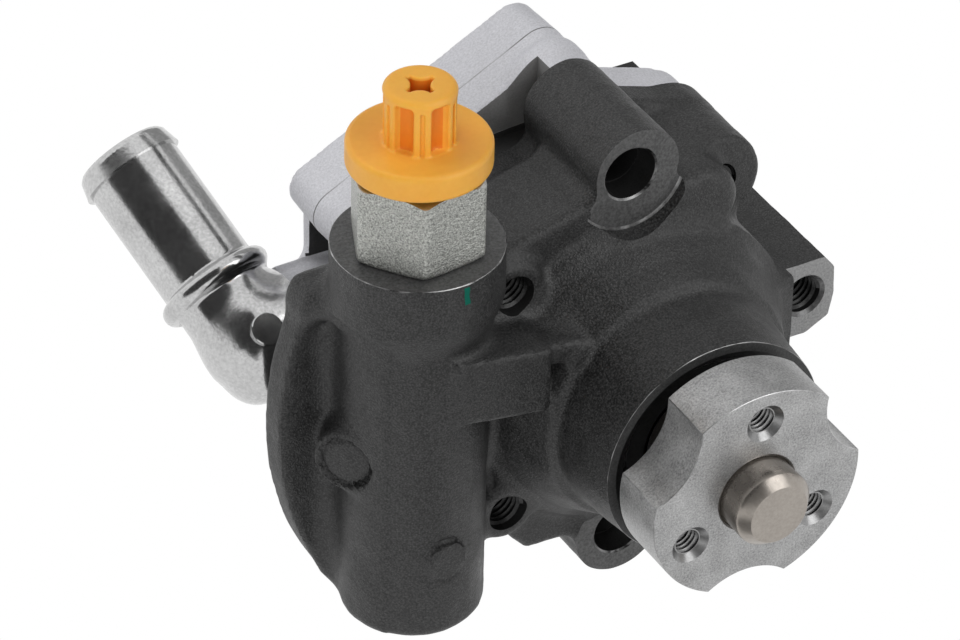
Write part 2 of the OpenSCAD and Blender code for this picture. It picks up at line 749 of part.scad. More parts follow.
module suction_elbow() {
    color("#c9cacc") difference() {
        union() {
            translate([-inlet_end - elbow_gap, inlet_y, 0]) rotate([0, -90, 0]) rotate_extrude() {
                h = elbow_end - inlet_end - elbow_gap;
                e = elbow_round;
                square([elbow_r - e, h]);
                square([elbow_r, h - e]);
                translate([elbow_r - e, h - e]) circle(e);
            }
            translate([-inlet_end - elbow_gap - over, inlet_y, 0]) rotate([0, 90, 0])
                cylinder(r = inlet_r - screw_play, h = spigot_len + over);
            stub_frame() rotate_extrude() {
                square([stub_r, stub_len]);
                translate([stub_r - 0.2 * bead_r, bead_at]) circle(bead_r);
                polygon([[0, stub_len - lip_len], [stub_r, stub_len - lip_len],
                    [stub_r + lip_r, stub_len - 0.8 * lip_len],
                    [stub_r + lip_r, stub_len - 0.2 * lip_len], [stub_r, stub_len],
                    [0, stub_len]]);
            }
            translate([-knee_x - 1.6, inlet_y, 0]) rotate([elbow_mark_turn, 0, 0])
                cylinder(r = elbow_mark_r, h = elbow_r + mark_h);
        }
        stub_frame() cylinder(r = stub_bore_r, h = stub_len + over);
        translate([-knee_x - elbow_bore_r / 2, inlet_y, 0]) rotate([0, 90, 0])
            cylinder(r = elbow_bore_r, h = knee_x);
        translate([-inlet_end + spigot_len / 2, inlet_y, 0]) rotate([0, 90, 0]) rotate_extrude()
            translate([inlet_r - 1.7 * elbow_ring_r, -1.15 * elbow_ring_r])
            square([2 * elbow_ring_r, 2.3 * elbow_ring_r]);
    }
}

module elbow_seal_ring() {
    color("#151515") translate([-inlet_end + spigot_len / 2, inlet_y, 0]) rotate([0, 90, 0])
        rotate_extrude() intersection() {
            translate([inlet_r - 0.85 * elbow_ring_r, 0]) circle(elbow_ring_r);
            translate([inlet_r - 1.65 * elbow_ring_r, -5])
                square([1.65 * elbow_ring_r - 0.02, 10]);
        }
}

module outlet_union() {
    color("#b9bbb4") translate([valve_x, valve_y, 0]) difference() {
        union() {
            intersection() {
                translate([0, 0, hex_bottom]) rotate(hex_turn) hex_prism(hex_half, hex_h);
                translate([0, 0, hex_bottom - over]) rotate_extrude()
                    polygon([[0, 0], [hex_half / cos(30) + over, 0],
                    [hex_half / cos(30) + over, hex_h - 1], [hex_half - 0.1, hex_h + over],
                    [0, hex_h + over]]);
            }
            translate([0, 0, union_foot]) cylinder(r = union_r, h = union_len + over);
        }
        translate([0, 0, hex_top - port_len]) cylinder(r = port_r, h = port_len + over);
        translate([0, 0, union_foot - over]) cylinder(r = orifice_r, h = hex_h + union_len);
        translate([0, 0, valve_top - 2 * union_ring_r]) rotate_extrude()
            translate([union_r - union_ring_r, 0]) square([2, 2 * union_ring_r]);
    }
}

module union_seal_ring() {
    color("#151515") translate([valve_x, valve_y, valve_top - union_ring_r]) rotate_extrude()
        translate([union_r - 0.5 * union_ring_r, 0]) intersection() {
            circle(0.96 * union_ring_r);
            translate([-0.48 * union_ring_r, -5]) square([0.96 * union_ring_r, 10]);
        }
}

module transport_plug() {
    color("#f2a733") translate([valve_x, valve_y, 0]) difference() {
        union() {
            translate([0, 0, plug_low]) rotate_extrude() {
                square([plug_flange_r - plug_round, plug_flange_t]);
                square([plug_flange_r, plug_flange_t - plug_round]);
                translate([plug_flange_r - plug_round, plug_flange_t - plug_round])
                    circle(plug_round);
            }
            translate([0, 0, plug_low - plug_shank])
                cylinder(r = port_r - screw_play, h = plug_shank + over);
            translate([0, 0, plug_top - over]) cylinder(r = grip_core_r, h = grip_h + over);
            for (i = [0 : 2]) intersection() {
                translate([0, 0, plug_top - over]) rotate(60 * i + 5)
                    translate([-grip_r - over, -grip_rib_w / 2, 0])
                    cube([2 * grip_r + 2 * over, grip_rib_w, grip_h + over]);
                cylinder(r = grip_r, h = plug_top + grip_h);
            }
        }
        translate([0, 0, plug_top + grip_h - grip_socket_len])
            rotate(5) hex_prism(grip_socket, grip_socket_len + over);
        for (i = [0 : 5]) rotate(60 * i + 5)
            translate([grip_core_r + 0.9, -grip_groove_w / 2, plug_top + 0.8])
            cube([grip_r, grip_groove_w, grip_h]);
    }
}

module pulley_hub() {
    d = scallop_floor_r + scallop_r;
    color("#a2a3a5") difference() {
        bar_y([0, 0], hub_r, 0, hub_t);
        bar_y([0, 0], nose_r, -over, hub_t + over);
        for (i = [0 : 2]) {
            a = hub_phase + 120 * i;
            h = hub_bolt_circle_r * [cos(a), sin(a)];
            bar_y(h, hub_tap_r, -over, hub_t + over);
            translate([h[0], 0, h[1]]) turn_y() polygon([[0, -over],
                [hub_tap_r + tap_chamfer, -over], [hub_tap_r + tap_chamfer, 0],
                [hub_tap_r, tap_chamfer_t], [0, tap_chamfer_t]]);
            bar_y(d * [cos(a + 60), sin(a + 60)], scallop_r, -over, hub_t + over);
        }
        turn_y() polygon([[nose_r - over, -over], [nose_r + 0.6 + over, -over],
            [nose_r - 0.2, 0.8], [nose_r - over, 0.8]]);
    }
}

module drive_shaft() {
    c = nose_chamfer;
    color("#a5a09a") difference() {
        union() {
            turn_y() polygon([[0, -nose_len], [pilot_r - c, -nose_len], [pilot_r, c - nose_len],
                [pilot_r, -seat_len], [nose_r, -seat_len], [nose_r, hub_t + 2],
                [journal_r, hub_t + 2.5], [journal_r, bearing_end],
                [collar_r, bearing_end], [collar_r, bearing_end + 1.4],
                [journal_r, bearing_end + 1.4], [journal_r, front_plate_end - 1],
                [tail_r, front_plate_end - 1], [tail_r, tail_end - 0.5],
                [tail_r - 0.5, tail_end], [0, tail_end]]);
            slab_y(front_plate_end - 1.5, rotor_back + 1.6) serration(0);
        }
        turn_y() translate([serration_r - serration_h - 0.4, rotor_back + cap])
            square([3, rotor_clip_t]);
    }
}

module bearing_outer_race() {
    m = bearing_y + bearing_w / 2;
    color("#9a9b9d") turn_y() difference() {
        translate([outer_race_r, bearing_y]) square([bearing_r - outer_race_r, bearing_w]);
        translate([ball_circle_r + ball_r + ball_play - groove_r, m]) circle(groove_r);
    }
}

module bearing_inner_race() {
    m = bearing_y + bearing_w / 2;
    color("#9a9b9d") turn_y() difference() {
        translate([journal_r, bearing_y]) square([inner_race_r - journal_r, bearing_w]);
        translate([ball_circle_r - ball_r - ball_play + groove_r, m]) circle(groove_r);
    }
}

module bearing_balls() {
    m = bearing_y + bearing_w / 2;
    color("#c0c1c3") for (i = [0 : ball_n - 1])
        rotate([0, 360 * i / ball_n, 0]) translate([ball_circle_r, m, 0]) sphere(ball_r);
}

module bearing_cage() {
    m = bearing_y + bearing_w / 2;
    color("#8c7a4c") difference() {
        bar_y([0, 0], cage_out_r, m - cage_half_w, m + cage_half_w);
        bar_y([0, 0], cage_in_r, m - bearing_w, m + bearing_w);
        for (i = [0 : ball_n - 1]) rotate([0, 360 * i / ball_n, 0])
            translate([cage_in_r - over, m, 0]) rotate([0, 90, 0])
            cylinder(r = ball_r + cage_play, h = 4 * over);
    }
}

module bearing_shields() {
    color("#1d1d1f") for (y = [bearing_y + 0.3, bearing_end - 0.3 - shield_t]) difference() {
        bar_y([0, 0], outer_race_r, y, y + shield_t);
        bar_y([0, 0], inner_race_r + 0.35, y - over, y + shield_t + over);
    }
}

module bearing_circlip() {
    o = bearing_r + clip_depth - 0.1;
    color("#2a2a2c") difference() {
        bar_y([0, 0], o, clip_y + 0.05, bearing_y - 0.05);
        bar_y([0, 0], o - clip_w, clip_y - over, bearing_y + over);
        rotate([0, 30, 0]) translate([0, clip_y - over, -4]) cube([bearing_r * 2, clip_t + 3, 8]);
    }
}

module shaft_seal() {
    color("#232020") turn_y() {
        translate([seal_r - 1.6, seal_y]) square([1.6, seal_w]);
        translate([journal_r + 1.7, seal_y]) square([seal_r - journal_r - 2, 1.4]);
        polygon([[journal_r + 1.7, seal_y], [journal_r + 2.9, seal_y],
            [journal_r + 2.9, seal_end - 2], [journal_r + 1.4, seal_end - 1],
            [journal_r + seal_play, seal_end - 2.2],
            [journal_r + 1.7, seal_end - 3.6]]);
    }
}

module seal_spring() {
    color("#8a8b8d") turn_y() translate([journal_r + 2.9 + seal_spring_r + cap / 4, seal_end - 2.4])
        circle(seal_spring_r);
}

module plate_spring() {
    t = plate_spring_t;
    y = chamber_y + plate_spring_play;
    e = front_plate_y - plate_spring_play;
    o = chamber_r - plate_spring_gap;
    i = o - plate_spring_w;
    color("#77787a") turn_y() polygon([[i, e - t], [o, y], [o, y + t], [i, e]]);
}

// Ports and dowel holes shared by both pressure plates
module plate_cuts(y0, y1) {
    for (a = [90, 270]) rotate([0, a - 90, 0]) translate([0, y0 - over, 0]) rotate([-90, 0, 0])
        rotate([0, 0, -90 - kidney_angle / 2]) rotate_extrude(angle = kidney_angle)
        translate([kidney_r - kidney_w, 0]) square([2 * kidney_w, y1 - y0 + 2 * over]);
    for (s = [-1, 1]) bar_y([s * dowel_x, 0], dowel_r + dowel_play, y0 - over, y1 + over);
}

module front_plate() {
    color("#8f9092") difference() {
        bar_y([0, 0], ring_r, front_plate_y, front_plate_end);
        bar_y([0, 0], journal_r + plate_play, front_plate_y - over, front_plate_end + over);
        plate_cuts(front_plate_y, front_plate_end);
    }
}

module cam_ring() {
    color("#7f8082") difference() {
        bar_y([0, 0], ring_r, front_plate_end, cam_end);
        slab_y(front_plate_end - over, cam_end + over) intersection() {
            circle(cam_major_r);
            translate([cam_shift, 0]) circle(cam_ramp_r);
            translate([-cam_shift, 0]) circle(cam_ramp_r);
        }
        for (s = [-1, 1]) bar_y([s * dowel_x, 0], dowel_r + dowel_play, front_plate_end - over,
            cam_end + over);
    }
}

module rear_plate() {
    color("#8f9092") difference() {
        bar_y([0, 0], ring_r, cam_end, rear_plate_end);
        bar_y([0, 0], journal_r + plate_play, cam_end - over, rear_plate_end + over);
        plate_cuts(cam_end, rear_plate_end);
    }
}

module dowel_pins() {
    color("#a0a1a3") for (s = [-1, 1])
        bar_y([s * dowel_x, 0], dowel_r, front_plate_y + 1, rear_plate_end - cap);
}

module rotor() {
    w = vane_t + 2 * vane_play;
    color("#86878a") difference() {
        bar_y([0, 0], rotor_r, rotor_front, rotor_back);
        slab_y(rotor_front - over, rotor_back + over) {
            serration(0);
            for (i = [0 : vane_n - 1]) rotate(360 * i / vane_n + 9) {
                translate([slot_floor_r, -w / 2]) square([rotor_r, w]);
                translate([slot_floor_r, 0]) circle(slot_foot_r);
            }
        }
    }
}

module rotor_circlip() {
    color("#2a2a2c") difference() {
        bar_y([0, 0], serration_r + 1.1, rotor_back + cap + 0.05,
            rotor_back + cap + rotor_clip_t - 0.05);
        bar_y([0, 0], serration_r - serration_h - 0.3, rotor_back - over, rotor_back + 4);
        translate([0, rotor_back - over, -3]) cube([20, 6, 6]);
    }
}

module vane(i) {
    color("#9c9da0") rotate([0, -360 * (i - 1) / vane_n - 9, 0])
        translate([vane_foot, rotor_front, -vane_t / 2])
        cube([vane_h, rotor_back - rotor_front, vane_t]);
}

module valve_spool() {
    r = spool_bore_r - spool_play;
    m = spool_foot + spool_len / 2;
    color("#a9aaac") translate([valve_x, valve_y, 0]) difference() {
        rotate_extrude() polygon([[0, spool_foot], [r, spool_foot], [r, m - spool_groove / 2],
            [r - 1.6, m - spool_groove / 2], [r - 1.6, m + spool_groove / 2],
            [r, m + spool_groove / 2], [r, spool_top - 3], [r - 3.2, spool_top], [0, spool_top]]);
        translate([0, 0, spool_foot - over]) cylinder(r = 3.4, h = 9);
    }
}

// Slice of a coil wire at one height, so that every upright cut of the wire is round
module coil_slice(pitch) {
    m = 360 * spring_wire_r / pitch;
    n = 3;
    up = [for (k = [-n : n]) let (d = 0.98 * m * k / n, h = d * pitch / 360,
        t = sqrt(spring_wire_r * spring_wire_r - h * h)) [spring_r + t, d]];
    down = [for (k = [-n : n]) let (d = -0.98 * m * k / n, h = d * pitch / 360,
        t = sqrt(spring_wire_r * spring_wire_r - h * h)) [spring_r - t, d]];
    polygon([for (q = concat(up, down)) [q[0] * cos(q[1]), q[0] * sin(q[1])]]);
}

module valve_spring() {
    pitch = spring_len / spring_n;
    color("#6f7073") translate([valve_x, valve_y, -spool_floor + spring_wire_r])
        linear_extrude(height = spring_len, twist = -360 * spring_n, slices = 12 * spring_n,
        $fn = 8)
        coil_slice(pitch);
}

housing();
rear_cover();
cover_bolts();
cover_seal_ring();
shaft_bush();
suction_elbow();
elbow_seal_ring();
outlet_union();
union_seal_ring();
transport_plug();
pulley_hub();
drive_shaft();
bearing_outer_race();
bearing_inner_race();
bearing_balls();
bearing_cage();
bearing_shields();
bearing_circlip();
shaft_seal();
seal_spring();
plate_spring();
front_plate();
cam_ring();
rear_plate();
dowel_pins();
rotor();
rotor_circlip();
vane(1);  // vane_01
vane(2);  // vane_02
vane(3);  // vane_03
vane(4);  // vane_04
vane(5);  // vane_05
vane(6);  // vane_06
vane(7);  // vane_07
vane(8);  // vane_08
vane(9);  // vane_09
vane(10);  // vane_10
valve_spool();
valve_spring();
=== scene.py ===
# Power steering pump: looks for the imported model, in the row frame, in metres.
# Shapes are worked out in millimetres in the same frame and scaled when the mesh is made.
import math
import bmesh
import bpy
import numpy as np
from mathutils import Matrix, Vector


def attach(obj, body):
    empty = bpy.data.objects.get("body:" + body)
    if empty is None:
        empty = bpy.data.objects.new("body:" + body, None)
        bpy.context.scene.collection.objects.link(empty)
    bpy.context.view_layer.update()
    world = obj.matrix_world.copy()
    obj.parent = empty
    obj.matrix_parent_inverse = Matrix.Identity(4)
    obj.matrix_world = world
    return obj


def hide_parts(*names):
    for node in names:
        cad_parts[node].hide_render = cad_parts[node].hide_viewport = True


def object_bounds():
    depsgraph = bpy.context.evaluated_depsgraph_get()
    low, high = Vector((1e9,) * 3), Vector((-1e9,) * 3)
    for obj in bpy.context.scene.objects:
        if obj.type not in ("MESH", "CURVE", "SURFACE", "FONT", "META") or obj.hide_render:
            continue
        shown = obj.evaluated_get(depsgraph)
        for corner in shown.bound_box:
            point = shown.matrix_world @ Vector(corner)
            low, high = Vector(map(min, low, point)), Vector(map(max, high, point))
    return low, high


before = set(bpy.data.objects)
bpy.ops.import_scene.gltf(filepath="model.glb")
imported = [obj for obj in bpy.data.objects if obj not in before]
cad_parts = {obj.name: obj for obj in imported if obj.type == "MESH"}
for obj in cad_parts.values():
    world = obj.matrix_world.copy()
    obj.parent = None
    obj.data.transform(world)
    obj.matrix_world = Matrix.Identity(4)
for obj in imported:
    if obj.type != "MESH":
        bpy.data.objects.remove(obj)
CAD_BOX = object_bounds()
scene = bpy.context.scene
MM = 0.001


# Places that pieces share, in millimetres: (x, z) for what runs along y, (x, y) for the valve axis.
BOLTS = {"a": (-27.5, 26.8), "b": (-27.7, -23.9), "c": (21.1, 30.9), "d": (21.2, -31.0)}
VALVE_SIDE = "ab"
TOP, LOW, LUG = (-2.1, 43.9), (-1.0, -39.7), (38.4, 2.4)
TOP_BOSS = (-0.7, 44.1)
VALVE = VX, VY = -46.35, 45.0
# Places along y: front of the neck, spot faces, joint of housing and cover, how far forms run past it
# before it is cut, the cover's parting line and the inlet's axis. The collar's top is a place along z.
NECK_FRONT = 15.1
SPOT = 44.4
JOINT = 71.0
PAST_JOINT = 75
PARTING = 83.2
INLET_Y = 83.6
COLLAR = 43.5
ORIGIN, ALONG_Y, ALONG_Z, TO_LEFT = (0, 0, 0), (0, 1, 0), (0, 0, 1), (-1, 0, 0)


# Distance fields: each takes P = (X, Y, Z) arrays in millimetres and gives the distance to a form.

def span(t, low, high):
    return np.maximum(low - t, t - high)


def both(a, b, r=0.0):
    """Where two extents meet, with an edge of radius r."""
    a, b = a + r, b + r
    return np.minimum(np.maximum(a, b), 0) + np.hypot(np.maximum(a, 0), np.maximum(b, 0)) - r


def join(a, b, r):
    """Union with a casting fillet of radius r."""
    return np.maximum(r, np.minimum(a, b)) - np.hypot(np.maximum(r - a, 0), np.maximum(r - b, 0))


def meet(a, b, r):
    return -join(-a, -b, r)


def bar_y(P, p, r, low, high, edge=0.0):
    return both(np.hypot(P[0] - p[0], P[2] - p[1]) - r, span(P[1], low, high), edge)


def segment(u, v, p, q):
    du, dv = q[0] - p[0], q[1] - p[1]
    t = np.clip(((u - p[0]) * du + (v - p[1]) * dv) / (du * du + dv * dv), 0, 1)
    return np.hypot(u - p[0] - t * du, v - p[1] - t * dv)


def outline(u, v, points):
    """Signed distance to a closed outline."""
    dist, inside = 1e9, False
    for (ax, ay), (bx, by) in zip(points, points[1:] + points[:1]):
        dist = np.minimum(dist, segment(u, v, (ax, ay), (bx, by)))
        if ay != by:
            inside = inside ^ (((ay > v) != (by > v)) & (u < (bx - ax) * (v - ay) / (by - ay) + ax))
    return np.where(inside, -dist, dist)


def box(P, low, high, edge=0.0):
    d = [span(t, a + edge, b - edge) for t, a, b in zip(P, low, high)]
    out = np.sqrt(sum(np.maximum(t, 0) ** 2 for t in d))
    return out + np.minimum(np.maximum(np.maximum(d[0], d[1]), d[2]), 0) - edge


def wobble(P, size, seed):
    """Slow uneven swell of a sand-cast skin, about -1 to 1."""
    k = 2 * math.pi / size
    a, b, c = (t * k for t in P)
    return (np.sin(a + 0.7 * b + seed) + np.sin(1.3 * b - 0.6 * c + 2 * seed)
            + np.sin(0.9 * c + 0.8 * a + 3 * seed)) / 3


def skin(fn, low, high, h):
    """Vertices and quads of the zero surface of a field, settled on the surface itself."""
    axes = [np.arange(a, b + h, h) for a, b in zip(low, high)]
    F = np.broadcast_to(fn(np.ix_(*axes)), [len(a) for a in axes]).astype(np.float32)
    S = F < 0
    corners = [(i, j, k) for i in (0, 1) for j in (0, 1) for k in (0, 1)]
    C = np.zeros([n - 1 for n in S.shape], np.uint8)
    for c in corners:
        C += S[tuple(slice(o, n + o) for o, n in zip(c, C.shape))]
    cells = np.argwhere((C > 0) & (C < 8))
    number = np.full(C.shape, -1, np.int64)
    number[tuple(cells.T)] = np.arange(len(cells))
    total, count = np.zeros((len(cells), 3)), np.zeros(len(cells))
    for c in corners:
        for k in range(3):
            if c[k]:
                continue
            e = tuple(1 if i == k else o for i, o in enumerate(c))
            fa, fb = F[tuple((cells + c).T)], F[tuple((cells + e).T)]
            m = (fa < 0) != (fb < 0)
            q = np.tile(np.array(c, float), (int(m.sum()), 1))
            q[:, k] = fa[m] / (fa[m] - fb[m])
            total[m] += q
            count[m] += 1
    V = np.array(low) + h * (cells + total / count[:, None])
    quads = []
    for k in range(3):
        u, v = (k + 1) % 3, (k + 2) % 3
        first = np.take(S, np.arange(S.shape[k] - 1), k)
        e = np.argwhere(first != np.take(S, np.arange(1, S.shape[k]), k))
        e = e[(e[:, u] > 0) & (e[:, v] > 0) & (e[:, u] < C.shape[u]) & (e[:, v] < C.shape[v])]
        ring = []
        for du, dv in ((1, 1), (0, 1), (0, 0), (1, 0)):
            c = e.copy()
            c[:, u] -= du
            c[:, v] -= dv
            ring.append(number[tuple(c.T)])
        q = np.stack(ring, 1)
        out = ~first[tuple(e.T)]
        q[out] = q[out][:, ::-1]
        quads.append(q)
    for _ in range(3):
        f, g, d = fn(V.T), [], 0.03
        for k in range(3):
            s = np.zeros(3)
            s[k] = d
            g.append((fn((V + s).T) - fn((V - s).T)) / (2 * d))
        g = np.stack(g, 1)
        step = f / np.maximum((g * g).sum(1), 0.3)
        V -= np.clip(step, -0.4 * h, 0.4 * h)[:, None] * g
    return V, np.concatenate(quads)


def make(name, verts, faces, materials=()):
    """Smooth-shaded object from a mesh in millimetres."""
    if isinstance(faces, np.ndarray):
        faces = faces.tolist()
    me = bpy.data.meshes.new(name)
    me.from_pydata(np.asarray(verts, float) * MM, [], faces)
    me.update()
    for m in materials:
        me.materials.append(m)
    o = bpy.data.objects.new(name, me)
    scene.collection.objects.link(o)
    soften(o)
    return o


def soften(o, angle=None):
    """Smooth shading, with edges sharper than an angle kept hard."""
    me = o.data
    me.polygons.foreach_set("use_smooth", [True] * len(me.polygons))
    if angle:
        me.set_sharp_from_angle(angle=math.radians(angle))
    me.update()


def basis(direction):
    """Rotation that takes +Z to a direction."""
    return Vector((0, 0, 1)).rotation_difference(Vector(direction)).to_matrix()


def lathe(name, profile, at, direction, material, seg=96):
    """Closed solid turned about an axis; profile points are (radius, distance along the axis)."""
    R, at = basis(direction), Vector(at)
    verts, rows = [], []
    for r, t in profile:
        if r < 1e-6:
            rows.append([len(verts)] * seg)
            verts.append(at + R @ Vector((0, 0, t)))
        else:
            rows.append(list(range(len(verts), len(verts) + seg)))
            for i in range(seg):
                a = 2 * math.pi * i / seg
                verts.append(at + R @ Vector((r * math.cos(a), r * math.sin(a), t)))
    faces = []
    n = len(rows)
    closed = all(len(set(r)) > 1 for r in rows)
    for j in range(n if closed else n - 1):
        p, q = rows[j], rows[(j + 1) % n]
        for i in range(seg):
            k = (i + 1) % seg
            f = [p[i], p[k], q[k], q[i]]
            f = [x for x, y in zip(f, f[1:] + f[:1]) if x != y]
            if len(f) > 2:
                faces.append(f)
    o = make(name, [tuple(v) for v in verts], faces, [material])
    fix_normals(o)
    return o


def prism(name, points, low, high, material):
    """Outline in x and z given depth along y."""
    n = len(points)
    verts = [(x, y, z) for y in (low, high) for x, z in points]
    faces = [list(range(n)), list(range(n, 2 * n))]
    faces += [[i, (i + 1) % n, n + (i + 1) % n, n + i] for i in range(n)]
    o = make(name, verts, faces, [material])
    fix_normals(o)
    return o


def fix_normals(o):
    b = bmesh.new()
    b.from_mesh(o.data)
    bmesh.ops.recalc_face_normals(b, faces=b.faces)
    b.to_mesh(o.data)
    b.free()


def settle(o):
    """The mesh as its modifiers leave it."""
    me = bpy.data.meshes.new_from_object(o.evaluated_get(bpy.context.evaluated_depsgraph_get()))
    o.modifiers.clear()
    o.data = me


def carve(o, tools, angle=32, operation="DIFFERENCE"):
    """Machine a piece with closed tools; cut faces take the tool's material."""
    for c in tools:
        m = o.modifiers.new("cut", "BOOLEAN")
        m.operation = operation
        m.object = c
        m.solver = "MANIFOLD"
        m.material_mode = "TRANSFER"
        bpy.context.view_layer.update()
        settle(o)
        bpy.data.objects.remove(c)
    soften(o, angle)


def place(o, body, replaced=None):
    """Tie a piece to its body and the solid that it stands for."""
    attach(o, body)
    if replaced:
        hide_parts(replaced)
    return o


def rod(r, low, high):
    return [(0, low), (r, low), (r, high), (0, high)]


def sleeve(inner, outer, low, high):
    return [(inner, low), (outer, low), (outer, high), (inner, high)]


def on_y(p):
    """Start of an axis along y through an (x, z) place."""
    return (p[0], 0, p[1])


def on_z(p):
    """Start of an axis along z through an (x, y) place."""
    return (p[0], p[1], 0)


def tool(name, profile, at, direction, material, seg=96):
    return lathe("tool_" + name, profile, at, direction, material, seg)


def hole(name, p, r, low, high, material):
    return tool(name, rod(r, low, high), on_y(p), ALONG_Y, material)


def upright_hole(name, p, r, low, high, material):
    return tool(name, rod(r, low, high), on_z(p), ALONG_Z, material)


def chamfer(name, p, r, y, size, material):
    profile = [(0, y - 2), (r + size + 2, y - 2), (r + size, y), (r, y + size), (0, y + size)]
    return tool(name, profile, on_y(p), ALONG_Y, material)


# Materials

def node(tree, kind, **inputs):
    n = tree.nodes.new("ShaderNode" + kind)
    for key, value in inputs.items():
        key = key.replace("_", " ")
        if key in n.inputs:
            if isinstance(value, bpy.types.NodeSocket):
                tree.links.new(value, n.inputs[key])
            else:
                n.inputs[key].default_value = value
        else:
            setattr(n, key.replace(" ", "_"), value)
    return n


def ramp(tree, fac, stops):
    n = tree.nodes.new("ShaderNodeValToRGB")
    tree.links.new(fac, n.inputs["Fac"])
    e = n.color_ramp.elements
    while len(e) < len(stops):
        e.new(0.5)
    for s, (at, c) in zip(e, stops):
        s.position = at
        s.color = (*c, 1) if isinstance(c, tuple) else (c, c, c, 1)
    return n.outputs["Color"]


def calc(tree, operation, *values):
    """Output of a math node; each value is a number or a socket."""
    n = node(tree, "Math", operation=operation)
    for socket, value in zip(n.inputs, values):
        if isinstance(value, bpy.types.NodeSocket):
            tree.links.new(value, socket)
        else:
            socket.default_value = value
    return n.outputs[0]


def remap(tree, value, from_low, from_high, to_low=0.0, to_high=1.0):
    return node(tree, "MapRange", Value=value, From_Min=from_low, From_Max=from_high,
                To_Min=to_low, To_Max=to_high).outputs[0]


def paint_groove_shade(tree, colour, at_point, patches, shaded_groove):
    """Painted shade of a fine groove: a faint broken dark line across a colour, given its place along y,
    half width and tone.
    """
    y, half, level = shaded_groove
    along = node(tree, "SeparateXYZ", Vector=at_point).outputs["Y"]
    near = calc(tree, "ABSOLUTE", calc(tree, "SUBTRACT", along, y))
    band = remap(tree, near, half, half * 1.8, 1.0, 0.0)
    gaps = remap(tree, patches, 0.38, 0.55)
    dim = node(tree, "Mix", data_type="RGBA", Factor=calc(tree, "MULTIPLY", band, gaps))
    tree.links.new(colour, dim.inputs[6])
    dim.inputs[7].default_value = (level, level, level, 1)
    return dim.outputs[2]


def finish(name, dark, light, rough, metallic=0.0, grain=2000.0, bump=0.3, depth=0.0001,
           patch=60.0, stretch=(1, 1, 1), fine=0.5, pits=0.0, spec=0.5, grit=None, shaded_groove=None, **extra):
    """Surface with grain, slow patches of tone and uneven gloss."""
    m = bpy.data.materials.new(name)
    m.use_nodes = True
    t = m.node_tree
    bsdf = t.nodes["Principled BSDF"]
    point = node(t, "TexCoord").outputs["Object"]
    drawn = node(t, "Mapping", Vector=point, Scale=stretch).outputs["Vector"]
    small = node(t, "TexNoise", Vector=drawn, Scale=grain, Detail=3.0, Roughness=0.6).outputs["Fac"]
    slow = node(t, "TexNoise", Vector=point, Scale=patch, Detail=3.0, Roughness=0.55).outputs["Fac"]
    middle = node(t, "TexNoise", Vector=point, Scale=grain * 0.36, Detail=2.0, Roughness=0.5).outputs["Fac"]
    shade = calc(t, "MULTIPLY_ADD", small, fine, calc(t, "MULTIPLY", slow, 1 - fine))
    height = calc(t, "MULTIPLY_ADD", middle, 0.6, small)
    if grit:
        size, share = grit
        cells = node(t, "TexVoronoi", Vector=point, Scale=size, Randomness=1.0).outputs["Distance"]
        grains = remap(t, cells, 0.12, 0.62, share, -share)
        shade = calc(t, "ADD", shade, grains)
        height = calc(t, "MULTIPLY_ADD", grains, 3.0, height)
    if pits:
        cells = node(t, "TexVoronoi", Vector=point, Scale=grain * 0.22, Randomness=1.0).outputs["Distance"]
        height = calc(t, "ADD", height, remap(t, cells, 0.05, 0.22, -pits, 0.0))
    colour = ramp(t, shade, [(0.34, dark), (0.66, light)])
    # Optional painted shade: a dark line where a fine groove would lie in shade.
    if shaded_groove:
        colour = paint_groove_shade(t, colour, point, slow, shaded_groove)
    t.links.new(colour, bsdf.inputs["Base Color"])
    gloss = remap(t, calc(t, "MULTIPLY_ADD", middle, 0.5, slow), 0.45, 1.05, *rough)
    t.links.new(gloss, bsdf.inputs["Roughness"])
    b = node(t, "Bump", Strength=bump, Distance=depth, Height=height)
    t.links.new(b.outputs["Normal"], bsdf.inputs["Normal"])
    bsdf.inputs["Metallic"].default_value = metallic
    bsdf.inputs["Specular IOR Level"].default_value = spec
    for key, value in extra.items():
        bsdf.inputs[key.replace("_", " ")].default_value = value
    return m


CAST = finish("cast_iron_skin", 0.006, 0.052, (0.38, 0.62), grain=2700, bump=0.65, depth=0.00012,
              patch=110, fine=0.82, spec=0.5, grit=(2300, 0.09))
LUG_FACE = finish("lug_machined", 0.22, 0.40, (0.36, 0.55), metallic=0.4, grain=2300, bump=0.25,
                  depth=0.00006, fine=0.75)
FACE = finish("iron_machined", 0.055, 0.135, (0.36, 0.55), metallic=0.4, grain=1900, bump=0.25,
              depth=0.00006, fine=0.75)
RIM_FACE = finish("iron_rim_face", 0.03, 0.075, (0.4, 0.6), metallic=0.2, grain=2400, bump=0.3,
                  depth=0.00006, fine=0.7)
BORE = finish("iron_bore", 0.015, 0.04, (0.35, 0.5), metallic=0.4, grain=2600, bump=0.2, depth=0.00005)
RIM = finish("iron_cone", 0.10, 0.2, (0.3, 0.45), metallic=0.7, grain=2200, bump=0.2, depth=0.00005)
EDGE = finish("iron_bare_edge", 0.015, 0.5, (0.3, 0.5), metallic=0.6, grain=330, bump=0.2, depth=0.00005,
              fine=0.85)
# The aluminium skin has a painted shade line along the parting line at y = PARTING.
ALU = finish("aluminium_skin", (0.56, 0.56, 0.59), (0.75, 0.75, 0.79), (0.46, 0.62), metallic=0.2,
             grain=2400, bump=0.4, depth=0.0001, fine=0.75, shaded_groove=(PARTING * MM, 0.00011, 0.15))
# Painted shade: near-black aluminium for the inlet pocket's walls and roof and the strip of flange under the
# block, which lie in shade.
PAINTED_SHADE = finish("aluminium_painted_shade", 0.02, 0.05, (0.5, 0.65), grain=2200, bump=0.3, depth=0.00008)
